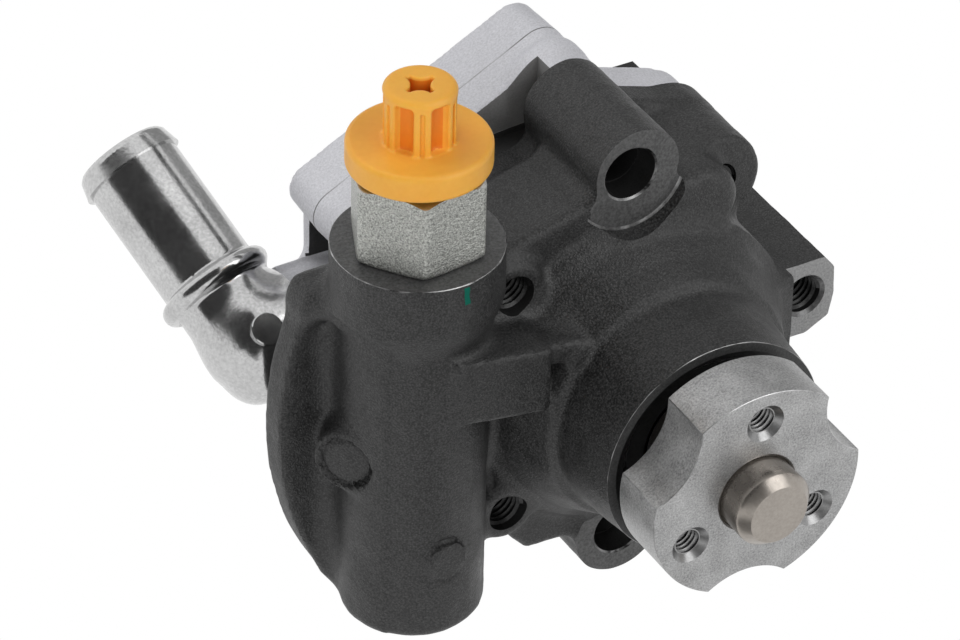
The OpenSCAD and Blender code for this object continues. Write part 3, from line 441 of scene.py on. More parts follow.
# Machined aluminium, much darker than the skin: partly its own machined finish, partly painted shade for the
# cover's front wall under the block.
ALU_FACE_SHADED = finish("aluminium_machined_shaded", 0.22, 0.32, (0.42, 0.55), metallic=0.2, grain=2600, bump=0.15,
                  depth=0.00004, stretch=(1, 0.1, 1))
PLATE = finish("bright_plating", 0.44, 0.64, (0.12, 0.26), metallic=1.0, grain=1500, bump=0.22,
               depth=0.00006, pits=0.6, patch=120, fine=0.6)
DARK = finish("plating_inside", 0.06, 0.12, (0.4, 0.6), metallic=0.6, grain=1700, bump=0.2, depth=0.00006)
ZINC = finish("blasted_zinc", (0.22, 0.225, 0.21), (0.72, 0.73, 0.69), (0.26, 0.46), metallic=0.85,
              grain=2900, bump=1.0, depth=0.00022, fine=0.85)
TURNED = finish("turned_zinc", (0.40, 0.40, 0.38), (0.52, 0.52, 0.50), (0.16, 0.28), metallic=1.0,
                grain=2400, bump=0.12, depth=0.00004)
YELLOW = finish("yellow_plastic", (0.91, 0.43, 0.052), (0.98, 0.50, 0.072), (0.38, 0.5), grain=900,
                bump=0.08, depth=0.00006, patch=70, fine=0.3, Subsurface_Weight=0.25,
                Subsurface_Radius=(0.004, 0.0016, 0.0004))
# Painted shade: a deeper orange copy of the plastic for the recessed panels of the plug's grip.
RECESS_SHADE = finish("yellow_painted_shade", (0.80, 0.235, 0.016), (0.88, 0.285, 0.022), (0.45, 0.6), grain=900,
              bump=0.08, depth=0.00006, patch=70, fine=0.3, Subsurface_Weight=0.25,
              Subsurface_Radius=(0.004, 0.0016, 0.0004))
STEEL = finish("hub_steel", 0.22, 0.56, (0.32, 0.48), metallic=0.7, grain=2600, bump=0.35,
               depth=0.00006, patch=160, fine=0.66)
BRIGHT = finish("hub_edge", 0.25, 0.62, (0.25, 0.4), metallic=1.0, grain=420, bump=0.15, depth=0.00004,
                fine=0.8)
CONE = finish("hub_cone", 0.24, 0.36, (0.24, 0.38), metallic=0.95, grain=2800, bump=0.12, depth=0.00004)
TAP = finish("hub_tap", 0.03, 0.07, (0.35, 0.5), metallic=0.6, grain=2600, bump=0.15, depth=0.00004)
NOSE = finish("shaft_steel", (0.30, 0.272, 0.245), (0.40, 0.366, 0.33), (0.22, 0.36), metallic=0.9,
              grain=1800, bump=0.16, depth=0.00005, stretch=(1, 0.12, 1))
THREAD = finish("thread_steel", 0.22, 0.40, (0.25, 0.4), metallic=0.95, grain=2400, bump=0.15, depth=0.00005)
IRON_THREAD = finish("thread_iron", 0.015, 0.06, (0.28, 0.42), metallic=0.8, grain=1800,
                     bump=0.2, depth=0.00006)
BLACK = finish("black_steel", 0.012, 0.03, (0.36, 0.5), metallic=0.5, grain=2000, bump=0.2, depth=0.00006)
RUBBER = finish("seal_rubber", 0.012, 0.024, (0.5, 0.65), grain=1600, bump=0.2, depth=0.00006)
BRONZE = finish("bronze", (0.26, 0.15, 0.05), (0.40, 0.24, 0.09), (0.3, 0.42), metallic=1.0, grain=2200,
                bump=0.15, depth=0.00004)
GROUND = finish("ground_steel", 0.36, 0.46, (0.18, 0.28), metallic=1.0, grain=2800, bump=0.12,
                depth=0.00003, stretch=(1, 0.2, 1))
SINTER = finish("sintered_steel", 0.20, 0.30, (0.36, 0.5), metallic=0.9, grain=2200, bump=0.25,
                depth=0.00006, pits=0.4)
PAINT = finish("paint_dab", (0.0, 0.10, 0.066), (0.0, 0.13, 0.09), (0.55, 0.7), grain=1500, bump=0.3,
               depth=0.00008, spec=0.2)


# Camera, at the photograph's angle; sizes and places in the picture are in its pixels
AZIMUTH, ELEVATION, ROLL = (math.radians(a) for a in (-30.502, 36.451, 1.506))
DIST, SENSOR = 0.9, 36.0
WIDTH, HEIGHT = 960, 640
FOCAL, ORIGIN_ACROSS, ORIGIN_DOWN = 4945.16, 757.12, 492.38
level = Vector((math.cos(AZIMUTH), math.sin(AZIMUTH), 0))
back = Vector((math.sin(AZIMUTH) * math.cos(ELEVATION), -math.cos(AZIMUTH) * math.cos(ELEVATION),
               math.sin(ELEVATION)))
steep = back.cross(level)
right = math.cos(ROLL) * level + math.sin(ROLL) * steep
up = math.cos(ROLL) * steep - math.sin(ROLL) * level
cam = bpy.data.cameras.new("camera")
cam.sensor_width = SENSOR
cam.lens = FOCAL / WIDTH * SENSOR
cam.clip_start = 0.05
cam.clip_end = 20.0
eye = bpy.data.objects.new("camera", cam)
scene.collection.objects.link(eye)
across = (ORIGIN_ACROSS - WIDTH / 2) / FOCAL * DIST
down = (ORIGIN_DOWN - HEIGHT / 2) / FOCAL * DIST
eye.matrix_world = (Matrix.Translation(DIST * back - across * right + down * up)
                    @ Matrix((right, up, back)).transposed().to_4x4())
scene.camera = eye

# Housing: one casting, grown from fillet-joined forms and then machined
DRUM = [(31.8, 0), (31.8, 25.3), (36.3, 27.5), (41.0, 30.2), (43.2, 32.2), (75, 32.2), (75, 0)]
WALL = [(21.1, 30.9), (23.7, 39.3), (11.2, 43.4), (0, 43.4), (0, 30)]
WEB_PLATE = [(VX + 6, 30.5), (-29.5, 34.6), (-10.1, 39.9), (0, 35.9), (0, -38.1), (-21.4, -37.2),
             (-24.2, -34), (-26.5, -31.1), (-30.7, -30.7), (VX + 6, -30.7)]
BROW = [(-62.5, 59.5), (-62.5, 54.5), (-61, 47), (-50, 45), (-50, 59.5)]
BODY_R, BODY_LOW, SWELL = 13.65, -39, 2.35
SIDE_MARK = (-60.95, 44.0, -1.1)
SIDE_MARK_R, SIDE_MARK_TURN = 5.2, math.radians(42)
FRONT_MARK, FRONT_MARK_R = (VX - 0.3, -20.6), 4.3
NECK_R, NECK_FLARE, FLARE_LENGTH = 22.75, 1.5, 14
WEB_R, WEB_LOW, WEB_HIGH = 69.5, -36.5, 29.0
BRIDGE_TILT, BRIDGE_END = 0.16, -26.4
TOP_BOSS_R, LOW_BOSS_R, BOSS_FRONT = 8.75, 9.5, 42.4
LUG_REACH, LUG_HALF, LUG_FRONT = 6.8, 8.4, 41.5
RIM_R, RIM_MARGIN, RIM_FRONT = 34, 8.5, 65
PAD_FROM, PAD_TO, PAD_R, PAD_FRONT = (2, 30.5), (13.5, 32.5), 7.6, 42.3
FILLET, BOSS_FILLET, SMALL_FILLET, RIM_FILLET = 3.0, 3.5, 2.5, 2.0


def valve_body(P):
    """Upright barrel that swells under the collar, with its mould seam and the brow at its left."""
    X, Y, Z = P
    r = np.hypot(X - VX, Y - VY)
    seam = 0.2 * np.tanh(((X - VX) * 0.643 + (Y - VY) * -0.766) / 0.35)
    left = np.clip((VX - 8 - X) / 5, 0, 1)
    rise = np.clip((Z - 25 - 5 * left) / (9 - 7.5 * left), 0, 1)
    swell = SWELL * rise * rise * (3 - 2 * rise)
    body = both(r - BODY_R + seam * (1 - rise) - swell, span(Z, BODY_LOW, 60), 2.5)
    brow = both(outline(X, Y, BROW) - 1.0, span(Z, 27.5, 32.0), 2.0)
    return np.maximum(join(body, brow, 2.5), Z - 46)


def side_web(P):
    X, Y, Z = P
    wall = outline(X, Y, [(-75, 54.4), (VX + 4, 53.9), (VX + 4, 60.5), (-75, 60.5)])
    d = meet(wall, np.hypot(X, Z) - WEB_R, 0.8)
    return meet(d, span(Z, WEB_LOW, WEB_HIGH), 2.5)


def valve_side(P):
    """Valve body with its web, the tilted bridge to the drum and the bridge's ear."""
    X, Y, Z = P
    tilted = (X, Y, Z + BRIDGE_TILT * (X - BRIDGE_END))
    d = join(valve_body(P), side_web(P), 6.0)
    d = join(d, box(tilted, (VX, 29.7, 8.0), (BRIDGE_END, 46, 21.9), 0.9), 1.6)
    return join(d, box(tilted, (-30, 31.2, 17.0), (-19, 46, 21.6), 1.2), 1.0)


def neck_and_drum(P):
    X, Y, Z = P
    rho = np.hypot(X, Z)
    flare = NECK_FLARE * np.clip((Y - NECK_FRONT) / FLARE_LENGTH, 0, 1)
    neck = both(rho - NECK_R - flare, span(Y, 13.0, 60))
    return join(neck, outline(Y, rho, DRUM) - 0.8, 1.8)


def bolt_boss(P, key):
    X, Y, Z = P
    p = BOLTS[key]
    r, front = (6.0, 42.0) if key in VALVE_SIDE else (9.4, 50.5)
    boss = bar_y(P, p, r, front, PAST_JOINT, 1.2)
    web = both(segment(X, Z, (0, 0), p) - r + 1, span(Y, front + 2, PAST_JOINT), 1.5)
    return np.minimum(boss, web)


def rim_outline(P, r):
    """Outline around the bolts and the bore that the housing's rim and the cover's flange share."""
    X, Y, Z = P
    d = np.minimum(outline(X, Z, [BOLTS[k] for k in "abdc"]) - RIM_MARGIN, np.hypot(X, Z) - r)
    return np.minimum(d, outline(X, Z, WALL))


def mount_boss(P, p, r, web_front):
    X, Y, Z = P
    boss = bar_y(P, p, r, BOSS_FRONT, PAST_JOINT)
    web = both(segment(X, Z, (0, 0), p) - r + 0.5, span(Y, web_front, PAST_JOINT), 1.5)
    return join(boss, web, 0.6)


def lug_form(P):
    X, Y, Z = P
    end, half = LUG[0] + LUG_REACH, LUG_HALF
    face = outline(X, Z - 1.9, [(27, -half), (end - 6, -half), (end - 1, -half + 2.6), (end, -half + 8),
                                (end - 0.3, half - 3), (end - 2.6, half), (27, half)])
    return both(face, span(Y, LUG_FRONT, PAST_JOINT), 0.8)


def side_mark(d, P):
    """Add the round flat beside the web, with a groove around it."""
    u, v = P[0] - SIDE_MARK[0], P[1] - SIDE_MARK[1]
    depth = u * math.cos(SIDE_MARK_TURN) + v * math.sin(SIDE_MARK_TURN)
    r = np.hypot(u * math.sin(SIDE_MARK_TURN) - v * math.cos(SIDE_MARK_TURN), P[2] - SIDE_MARK[2])
    d = join(d, both(r - SIDE_MARK_R - 1.4, span(depth, -0.3, 12), 0.8), 2.0)
    d = meet(d, -both(r - SIDE_MARK_R, span(depth, -12, 0.1), 0.1), 0.3)
    return np.maximum(d, 0.5 - np.hypot(r - SIDE_MARK_R + 0.2, depth - 0.1))


def front_mark(d, P):
    """Add the raised round mark low on the valve body, with a groove around it."""
    X, Y, Z = P
    r = np.hypot(X - FRONT_MARK[0], Z - FRONT_MARK[1])
    d = join(d, both(r - FRONT_MARK_R, span(Y, VY - 14.2, VY), 0.2), 0.3)
    return np.maximum(d, 0.62 - np.hypot(r - FRONT_MARK_R - 0.3, Y - VY + 13.7))


def casting(P):
    X, Y, Z = P
    d = neck_and_drum(P)
    d = join(d, both(outline(X, Z, WEB_PLATE), span(Y, 44.5, 64.5), 1.6), FILLET)
    for key in BOLTS:
        d = join(d, bolt_boss(P, key), FILLET)
    d = join(d, both(rim_outline(P, RIM_R), span(Y, RIM_FRONT, PAST_JOINT), 1.0), RIM_FILLET)
    pad = both(segment(X, Z, PAD_FROM, PAD_TO) - PAD_R, span(Y, PAD_FRONT, PAST_JOINT), 3.0)
    d = join(d, pad, SMALL_FILLET)
    d = join(d, mount_boss(P, TOP_BOSS, TOP_BOSS_R, 45.8), BOSS_FILLET)
    d = join(d, mount_boss(P, LOW, LOW_BOSS_R, 45.0), BOSS_FILLET)
    d = join(d, lug_form(P), SMALL_FILLET)
    d = join(d, valve_side(P), FILLET)
    d = front_mark(side_mark(d, P), P)
    return d + 0.08 * wobble(P, 11, 1.0) + 0.05 * wobble(P, 5.3, 2.0) + 0.025 * wobble(P, 2.6, 5.0)


V, F = skin(casting, (-73, 11, -53), (50, 77, 58), 0.72)
housing = make("housing_cast", V, F, [CAST])
WIDE = [(-90, -70), (90, -70), (90, 80), (-90, 80)]
BORES = [(0, 10), (20.9, 10), (20.9, 16.6), (20, 16.6), (20, 17.3), (21.2, 17.3), (21.2, 19), (20, 19),
         (20, 31), (16, 31), (16, 33.2), (15, 33.2), (15, 40.2), (9.3, 40.2), (9.3, 45), (28.8, 45),
         (28.8, 73), (0, 73)]
RIM_EDGE = [(22.7, 14), (30, 14), (30, 15.32), (22.92, 15.32), (22.7, NECK_FRONT)]
COLLAR_EDGE = [(15.85, COLLAR + 0.02), (16.1, COLLAR - 0.23), (19, COLLAR - 0.23), (19, 46), (15.85, 46)]
TOP_CLEAR = [(0, 24), (12.4, 24), (12.4, 42.2), (11.65, 44.3), (0, 44.3)]
MOUNT_R, MOUTH_R = 5.1, 5.35
TAP_R = 4.0
cuts = [
    prism("tool_joint", WIDE, JOINT, 90, FACE),
    tool("rim", rod(40, 5, NECK_FRONT), ORIGIN, ALONG_Y, RIM_FACE, 128),
    tool("rim_edge", RIM_EDGE, ORIGIN, ALONG_Y, EDGE, 128),
    tool("bores", BORES, ORIGIN, ALONG_Y, BORE, 128),
    tool("top_clear", TOP_CLEAR, on_y(TOP), ALONG_Y, CAST),
    tool("top_spot", rod(11.6, 24, SPOT), on_y(TOP), ALONG_Y, FACE),
    tool("top_ring", sleeve(11.3, 11.75, SPOT - 0.5, SPOT + 0.05), on_y(TOP), ALONG_Y, EDGE),
    tool("low_spot", rod(10.4, 24, SPOT), on_y(LOW), ALONG_Y, FACE),
    prism("tool_lug", [(33.7, -20), (80, -20), (80, 20), (33.7, 20)], 20, SPOT, LUG_FACE),
    hole("top", TOP, MOUNT_R, 40, 68.4, BORE),
    hole("low", LOW, MOUNT_R, 40, 74, BORE),
    hole("top_step", TOP, MOUTH_R, 40, 50.6, BORE),
    hole("low_step", LOW, MOUTH_R, 40, 50.6, BORE),
    chamfer("top_mouth", TOP, MOUTH_R, SPOT, 0.35, EDGE),
    chamfer("low_mouth", LOW, MOUTH_R, SPOT, 0.35, EDGE),
    hole("lug_tap", LUG, TAP_R, 40, 62.4, BORE),
    chamfer("lug_mouth", LUG, TAP_R, SPOT, 0.7, RIM),
    upright_hole("valve", VALVE, 7.5, -27, 60, BORE),
    upright_hole("union", VALVE, 10.0, 30.9, 60, BORE),
    upright_hole("collar", VALVE, 19.0, COLLAR, 60, FACE),
    tool("collar_edge", COLLAR_EDGE, on_z(VALVE), ALONG_Z, EDGE, 128),
]
for key, p in BOLTS.items():
    cuts.append(hole("bolt_" + key, p, TAP_R, 20 if key in VALVE_SIDE else 49.5, 74, BORE))
for key, z in (("high", 15.5), ("low", -6.0)):
    cuts.append(tool("passage_" + key, rod(2.6, 0, 24.5), (VX, VY, z), (1, 0, 0), BORE, 32))
carve(housing, cuts)
place(housing, "pump_body", "housing")

# Inside threads
M8 = {"crest": 3.42, "root": TAP_R, "pitch": 1.25}
M6 = {"crest": 2.5, "root": 3.0, "pitch": 1.0}
STEPS_A_TURN = 28


def thread(name, p, size, low, high, material, body):
    """Helical ridge of an inside thread about an axis along y."""
    crest, root, pitch = size["crest"], size["root"] + 0.06, size["pitch"]
    n = int(((high - low) / pitch - 1) * STEPS_A_TURN)
    form = [(root, -0.46), (crest, -0.09), (crest, 0.09), (root, 0.46)]
    verts, faces = [], []
    for i in range(n + 1):
        a = 2 * math.pi * i / STEPS_A_TURN
        y = low + pitch * (0.5 + i / STEPS_A_TURN)
        for r, t in form:
            verts.append((p[0] + r * math.cos(a), y + t * pitch, p[1] + r * math.sin(a)))
        if i:
            k = 4 * i
            faces += [[k - 4 + j, k - 4 + (j + 1) % 4, k + (j + 1) % 4, k + j] for j in range(4)]
    faces += [[3, 2, 1, 0], [4 * n, 4 * n + 1, 4 * n + 2, 4 * n + 3]]
    o = make(name, verts, faces, [material])
    fix_normals(o)
    soften(o, 40)
    return place(o, body)


for key, p in BOLTS.items():
    y = 42.8 if key in VALVE_SIDE else 50.9
    thread("thread_bolt_" + key, p, M8, y, y + 9, IRON_THREAD, "pump_body")
thread("thread_lug", LUG, M8, 45.1, 62.0, IRON_THREAD, "pump_body")

# Dab of marking paint on the collar
verts, faces = [], []
rows, cols = 22, 9
for i in range(rows):
    s = i / (rows - 1)
    z = COLLAR - 0.5 - 4.1 * s
    half = 2.5 + 0.15 * math.sin(7 * s + 1)
    mid = -86.0 + 1.0 * s + 0.25 * math.sin(9 * s)
    for j in range(cols):
        a = math.radians(mid + half * (2 * j / (cols - 1) - 1))
        lift = 0.10 if 0 < i < rows - 1 and 0 < j < cols - 1 else -0.25
        r = 16.0 + lift + 0.02 * math.sin(3.1 * i + 2.3 * j)
        verts.append((VX + r * math.cos(a), VY + r * math.sin(a), z))
for i in range(rows - 1):
    for j in range(cols - 1):
        k = i * cols + j
        faces.append([k, k + cols, k + cols + 1, k + 1])
place(make("paint_dab", verts, faces, [PAINT]), "pump_body")

# Rear cover
INLET = (0, INLET_Y, 0)
INLET_END = 51.6
COVER_START, FLANGE_BACK, COVER_R, EAR_R = 66, 79, 35, 8.6
DOME_R, DOME_BACK, INLET_R, HEAD_ROOM = 27, 90, 12.4, 8.3
BLOCK_FRONT, BLOCK_BACK, BLOCK_ROUND = 75.4, 94, 5
BLOCK = [(-41.82, 24.6), (0.78, 47.1), (0.78, 17), (7, 0), (-34, 0), (-38.8, 8), (-38.8, 22)]
POCKET_LOW, POCKET_HIGH = (-70, 50, 9.3), (-34.8, 91, 18.4)
FLANGE_TOP = [(-28.2, 36.2), (-9.6, 37.8), (-4, 38.2)]
FLANGE_STRIP = [(-60, 34.9), (-28.2, 35.0), (-9.6, 36.5), (-4, 36.9), (-4, 38.4), (-60, 38)]


def cover_form(P):
    X, Y, Z = P
    rho = np.hypot(X, Z)
    flange = np.minimum(rim_outline(P, COVER_R), np.hypot(X - TOP_BOSS[0], Z - TOP_BOSS[1]) - EAR_R)
    d = both(flange, span(Y, COVER_START, FLANGE_BACK), 1.0)
    dome = both(rho - DOME_R, span(Y, COVER_START, DOME_BACK), 4.0)
    draft = 0.04 * np.abs(Y - PARTING) - 0.35
    block = both(outline(X, Z, BLOCK) - BLOCK_ROUND + draft, span(Y, BLOCK_FRONT, BLOCK_BACK), 0.5)
    inlet = both(np.hypot(Y - INLET_Y, Z) - INLET_R, span(X, -INLET_END, 0), 0.8)
    d = join(d, join(dome, join(block, inlet, 2.5), 3.0), 2.0)
    d = meet(d, -box(P, POCKET_LOW, POCKET_HIGH, 1.2), 0.5)
    for p in BOLTS.values():
        d = meet(d, -bar_y(P, p, HEAD_ROOM, FLANGE_BACK, 130), 1.0)
    return d + 0.04 * wobble(P, 9, 4.0)


V, F = skin(cover_form, (-54, 64.5, -43), (37.5, 98.5, 56), 0.75)
cover = make("cover_cast", V, F, [ALU, PAINTED_SHADE])
# Painted shade: the pocket's walls and roof, all but its floor, take the near-black material.
for f in cover.data.polygons:
    c, n = f.center / MM, f.normal
    near = c.x < POCKET_HIGH[0] + 0.3 and c.y < POCKET_HIGH[1] + 0.3
    if near and POCKET_LOW[2] - 0.3 < c.z < POCKET_HIGH[2] + 0.3 and n.z < 0.5:
        f.material_index = 1
cuts = [
    prism("tool_face", WIDE, 50, JOINT, ALU_FACE_SHADED),
    # The block's front wall takes the darkened machined material as painted shade.
    prism("tool_block", [(-60, 36.2)] + FLANGE_TOP + [(-4, 60), (-60, 60)], 60, BLOCK_FRONT + 0.2, ALU_FACE_SHADED),
    # The strip of flange under the block takes the near-black painted shade.
    prism("tool_strip", FLANGE_STRIP, 60, BLOCK_FRONT + 0.1, PAINTED_SHADE),
    tool("inlet_face", rod(20, INLET_END, 70), INLET, TO_LEFT, ALU_FACE_SHADED),
    tool("inlet", rod(8.6, 22, 60), INLET, TO_LEFT, ALU_FACE_SHADED),
    hole("kidney", (-24, 0), 3.4, 60, INLET_Y, ALU_FACE_SHADED),
    hole("low", LOW, 6.6, 60, 99, ALU_FACE_SHADED),
    hole("bush", (0, 0), 7.5, 60, 82, ALU_FACE_SHADED),
    tool("ring", sleeve(29.8, 32, 68, 72.76), ORIGIN, ALONG_Y, ALU_FACE_SHADED, 128),
]
cuts += [hole("bolt_" + key, p, 4.35, 60, 99, ALU_FACE_SHADED) for key, p in BOLTS.items()]
carve(cover, cuts)
place(cover, "pump_body", "rear_cover")

# Suction elbow
KNEE = (-59.4, INLET_Y, 0.0)
RISE, LEAN = math.radians(32.6), math.radians(15)
ALONG = (-math.sin(LEAN) * math.cos(RISE), math.cos(LEAN) * math.cos(RISE), math.sin(RISE))
MARK_TURN = math.radians(43)
MARK = (0, -math.sin(MARK_TURN), math.cos(MARK_TURN))
PIPE_R, PIPE_BORE, CROSS_BORE = 9.5, 7.2, 5.6
ELBOW_R, ELBOW_END, KNOB_R = 11.7, -65.6, 9.9
BEAD_AT, BEAD_R = 13, 1.95
PIPE = [(-4, 0), (-4, 5), (-1, PIPE_R), (38.4, PIPE_R), (38.4, 10.8), (43.7, PIPE_R), (44.4, 8.9),
        (44.6, 8.3), (44.6, 0)]
SPIGOT = [(CROSS_BORE, 40.1), (8.25, 40.1), (8.55, 40.4), (8.55, 44.2), (6.56, 44.2), (6.56, 47),
          (8.55, 47), (8.55, 53), (CROSS_BORE, 53)]


def about(P, at, axis):
    """Distance along an axis and out from it."""
    Q = [t - a for t, a in zip(P, at)]
    s = sum(q * a for q, a in zip(Q, axis))
    return s, np.sqrt(np.maximum(sum(q * q for q in Q) - s * s, 0))


def elbow_form(P):
    X, Y, Z = P
    body = both(np.hypot(Y - INLET_Y, Z) - ELBOW_R, span(X, ELBOW_END, -30), 4.5)
    body = np.maximum(body, X + 50)
    s, r = about(P, KNEE, ALONG)
    bead = np.hypot(r - PIPE_R - 0.2, s - BEAD_AT) - BEAD_R
    pipe = join(outline(s, r, PIPE) - 0.05, bead, 0.7)
    knob = np.sqrt(sum((t - k) ** 2 for t, k in zip(P, KNEE))) - KNOB_R
    return join(join(body, knob, 3.0), pipe, 2.5)


V, F = skin(elbow_form, (-86, 68, -14), (-47, 130, 36), 0.45)
elbow = make("elbow_plated", V, F, [PLATE])
disc_edge = [(0, 6), (3.15, 6), (3.15, 12.25), (2.95, 12.45), (0, 12.45)]
carve(elbow, [lathe("elbow_disc", disc_edge, (-61, INLET_Y, 0), MARK, PLATE, 64)], operation="UNION")
carve(elbow, [
    tool("seat", rod(20, 0, 52.1), INLET, TO_LEFT, PLATE),
    tool("pipe", rod(PIPE_BORE, 0, 50), KNEE, ALONG, DARK),
    tool("lip", sleeve(PIPE_R + 0.03, 14, 36, 40.3), KNEE, ALONG, PLATE, 128),
])
spigot = lathe("elbow_spigot", SPIGOT, INLET, TO_LEFT, PLATE)
soften(spigot, 32)
carve(elbow, [spigot], operation="UNION")
carve(elbow, [tool("cross", rod(CROSS_BORE, 30, 62.2), INLET, TO_LEFT, DARK)])
place(elbow, "pump_body", "suction_elbow")

# Outlet union: blasted hexagon with a turned top
HEX_TOP = 60.2
HEX_HALF, HEX_TURN, CHAMFER_R = 11.5, 6.5, 12.4
UNION_R, UNION_LOW = 9.95, 30.9
CROWN = [(11.1, HEX_TOP + 0.1), (14.5, HEX_TOP - 2), (16, HEX_TOP - 2), (16, 62), (11.1, 62)]


def union_form(P):
    X, Y, Z = P
    u, v = X - VX, Y - VY
    r = np.hypot(u, v)
    d = None
    for i in range(6):
        a = math.radians(HEX_TURN + 30 + 60 * i)
        side = u * math.cos(a) + v * math.sin(a) - HEX_HALF
        d = side if d is None else meet(d, side, 0.45)
    d = meet(d, span(Z, COLLAR + 0.02, HEX_TOP + 1), 0.7)
    d = meet(d, (r - CHAMFER_R) * 0.5 - (Z - COLLAR) * 0.866, 0.8)
    d = d + 0.012 * wobble(P, 1.25, 3.0) + 0.014 * wobble(P, 0.8, 7.0)
    return np.minimum(d, both(r - UNION_R, span(Z, UNION_LOW, 45), 0.4))


V, F = skin(union_form, (VX - 14, VY - 14, 30), (VX + 14, VY + 14, 62), 0.36)
union = make("union_hexagon", V, F, [ZINC])
carve(union, [
    upright_hole("flat", VALVE, 20, HEX_TOP, 70, TURNED),
    tool("crown", CROWN, on_z(VALVE), ALONG_Z, TURNED),
    upright_hole("port", VALVE, 7.4, 47.7, 70, TURNED),
    upright_hole("orifice", VALVE, 3.0, 20, 70, TURNED),
    tool("ring", sleeve(9.05, 9.98, 41.7, 43.45), on_z(VALVE), ALONG_Z, TURNED),
])
place(union, "pump_body", "outlet_union")

# Transport plug
PLUG, PLUG_TOP, GRIP_TOP = 60.5, 65.9, 77.2
FLANGE_R, SHANK_R, GRIP_R = 13.3, 7.35, 6.75
FLUTE_AT, FLUTE_R = 6.6, 1.85
GROOVE_HALF, GROOVE_FLOOR = 0.36, 6.1
SOCKET_R, LOBE_R, LOBE_AT = 3.1, 2.6, 4.35


def turned(u, v, degrees):
    """Places along and across a direction about the valve axis."""
    a = math.radians(degrees)
    return u * math.cos(a) + v * math.sin(a), v * math.cos(a) - u * math.sin(a)


def plug_form(P):
    X, Y, Z = P
    u, v = X - VX, Y - VY
    r = np.hypot(u, v)
    flange = both(r - FLANGE_R, span(Z, PLUG, PLUG_TOP), 1.0)
    shank = both(r - SHANK_R, span(Z, 51, 61), 0.5)
    grip = both(r - GRIP_R, span(Z, 63, GRIP_TOP), 1.2)
    for i in range(6):
        along, across = turned(u, v, 60 * i + 35)
        flute = both(np.hypot(along - FLUTE_AT, across) - FLUTE_R, span(Z, PLUG_TOP, GRIP_TOP - 1.3), 0.9)
        grip = meet(grip, -flute, 0.3)
        along, across = turned(u, v, 60 * i + 5)
        groove = both(np.abs(across) - GROOVE_HALF, span(along, GROOVE_FLOOR, 9), 0.1)
        groove = both(groove, span(Z, PLUG_TOP, GRIP_TOP - 2.2), 0.3)
        grip = meet(grip, -groove, 0.15)
    d = join(flange, grip, 0.3)
    socket = r - SOCKET_R
    for i in range(4):
        along, across = turned(u, v, 60 + 90 * i)
        socket = np.maximum(socket, LOBE_R - np.hypot(along - LOBE_AT, across))
    d = meet(d, -both(socket, span(Z, GRIP_TOP - 8, GRIP_TOP + 9), 0.1), 0.35)
    return np.minimum(d, shank)


V, F = skin(plug_form, (VX - 14.5, VY - 14.5, 50), (VX + 14.5, VY + 14.5, 78.2), 0.3)
plug = make("plug_moulded", V, F, [YELLOW, RECESS_SHADE])
# Painted shade: faces inside the grip's recessed panels take the deeper orange.
for f in plug.data.polygons:
    c = f.center / MM
    if math.hypot(c.x - VX, c.y - VY) < 5.5 and PLUG_TOP + 0.3 < c.z < GRIP_TOP - 0.6:
        f.material_index = 1
place(plug, "pump_body", "transport_plug")

# Pulley hub with three tapped holes
HUB_R, HUB_T, PHASE, CIRCLE = 22.0, 12.0, 87.0, 15.5
SCALLOP, CENTRE = 13.5, 31.1
NOSE_SEAT = [(0, -5), (8.35, -5), (8.35, 0), (8.02, 0.4), (8.02, 20), (0, 20)]
HUB_TAP = [(0, 0.5), (2.5, 0.5), (2.5, 1.25), (3.0, 1.7), (3.0, 11.5), (3.4, 11.95), (3.4, 14), (0, 14)]
HUB_SINK = [(0, -5), (3.9, -5), (3.9, 0), (2.7, 1.2), (0, 1.2)]


def polar(r, degrees):
    a = math.radians(degrees)
    return r * math.cos(a), r * math.sin(a)


def hub_outline():
    """Round hub with three scallops, each an arc about a centre outside it."""
    corner = math.degrees(math.acos((HUB_R ** 2 + CENTRE ** 2 - SCALLOP ** 2) / (2 * HUB_R * CENTRE)))
    sweep = math.degrees(math.acos((CENTRE ** 2 + SCALLOP ** 2 - HUB_R ** 2) / (2 * CENTRE * SCALLOP)))
    points = []
    for i in range(3):
        middle = PHASE + 60 + 120 * i
        cx, cz = polar(CENTRE, middle)
        for j in range(25):
            x, z = polar(SCALLOP, middle + 180 + sweep * (1 - 2 * j / 24))
            points.append((cx + x, cz + z))
        points += [polar(HUB_R, middle + corner + (120 - 2 * corner) * j / 40) for j in range(1, 40)]
    return points


hub = prism("hub_steel", hub_outline(), 0.0, HUB_T, STEEL)
hub.data.materials.append(BRIGHT)
m = hub.modifiers.new("edge", "BEVEL")
m.width = 0.11 * MM
m.segments = 1
m.limit_method = "ANGLE"
m.angle_limit = math.radians(28)
m.material = 1
bpy.context.view_layer.update()
settle(hub)
taps = {i + 1: polar(CIRCLE, PHASE + 120 * i) for i in range(3)}
cuts = [tool("nose", NOSE_SEAT, ORIGIN, ALONG_Y, STEEL, 128)]
cuts += [tool("tap_%d" % i, HUB_TAP, on_y(p), ALONG_Y, TAP, 64) for i, p in taps.items()]
cuts += [tool("sink_%d" % i, HUB_SINK, on_y(p), ALONG_Y, CONE, 64) for i, p in taps.items()]
carve(hub, cuts, 25)
place(hub, "drive", "pulley_hub")
for i, p in taps.items():
    thread("thread_hub_%d" % i, p, M6, 1.1, HUB_T, THREAD, "drive")

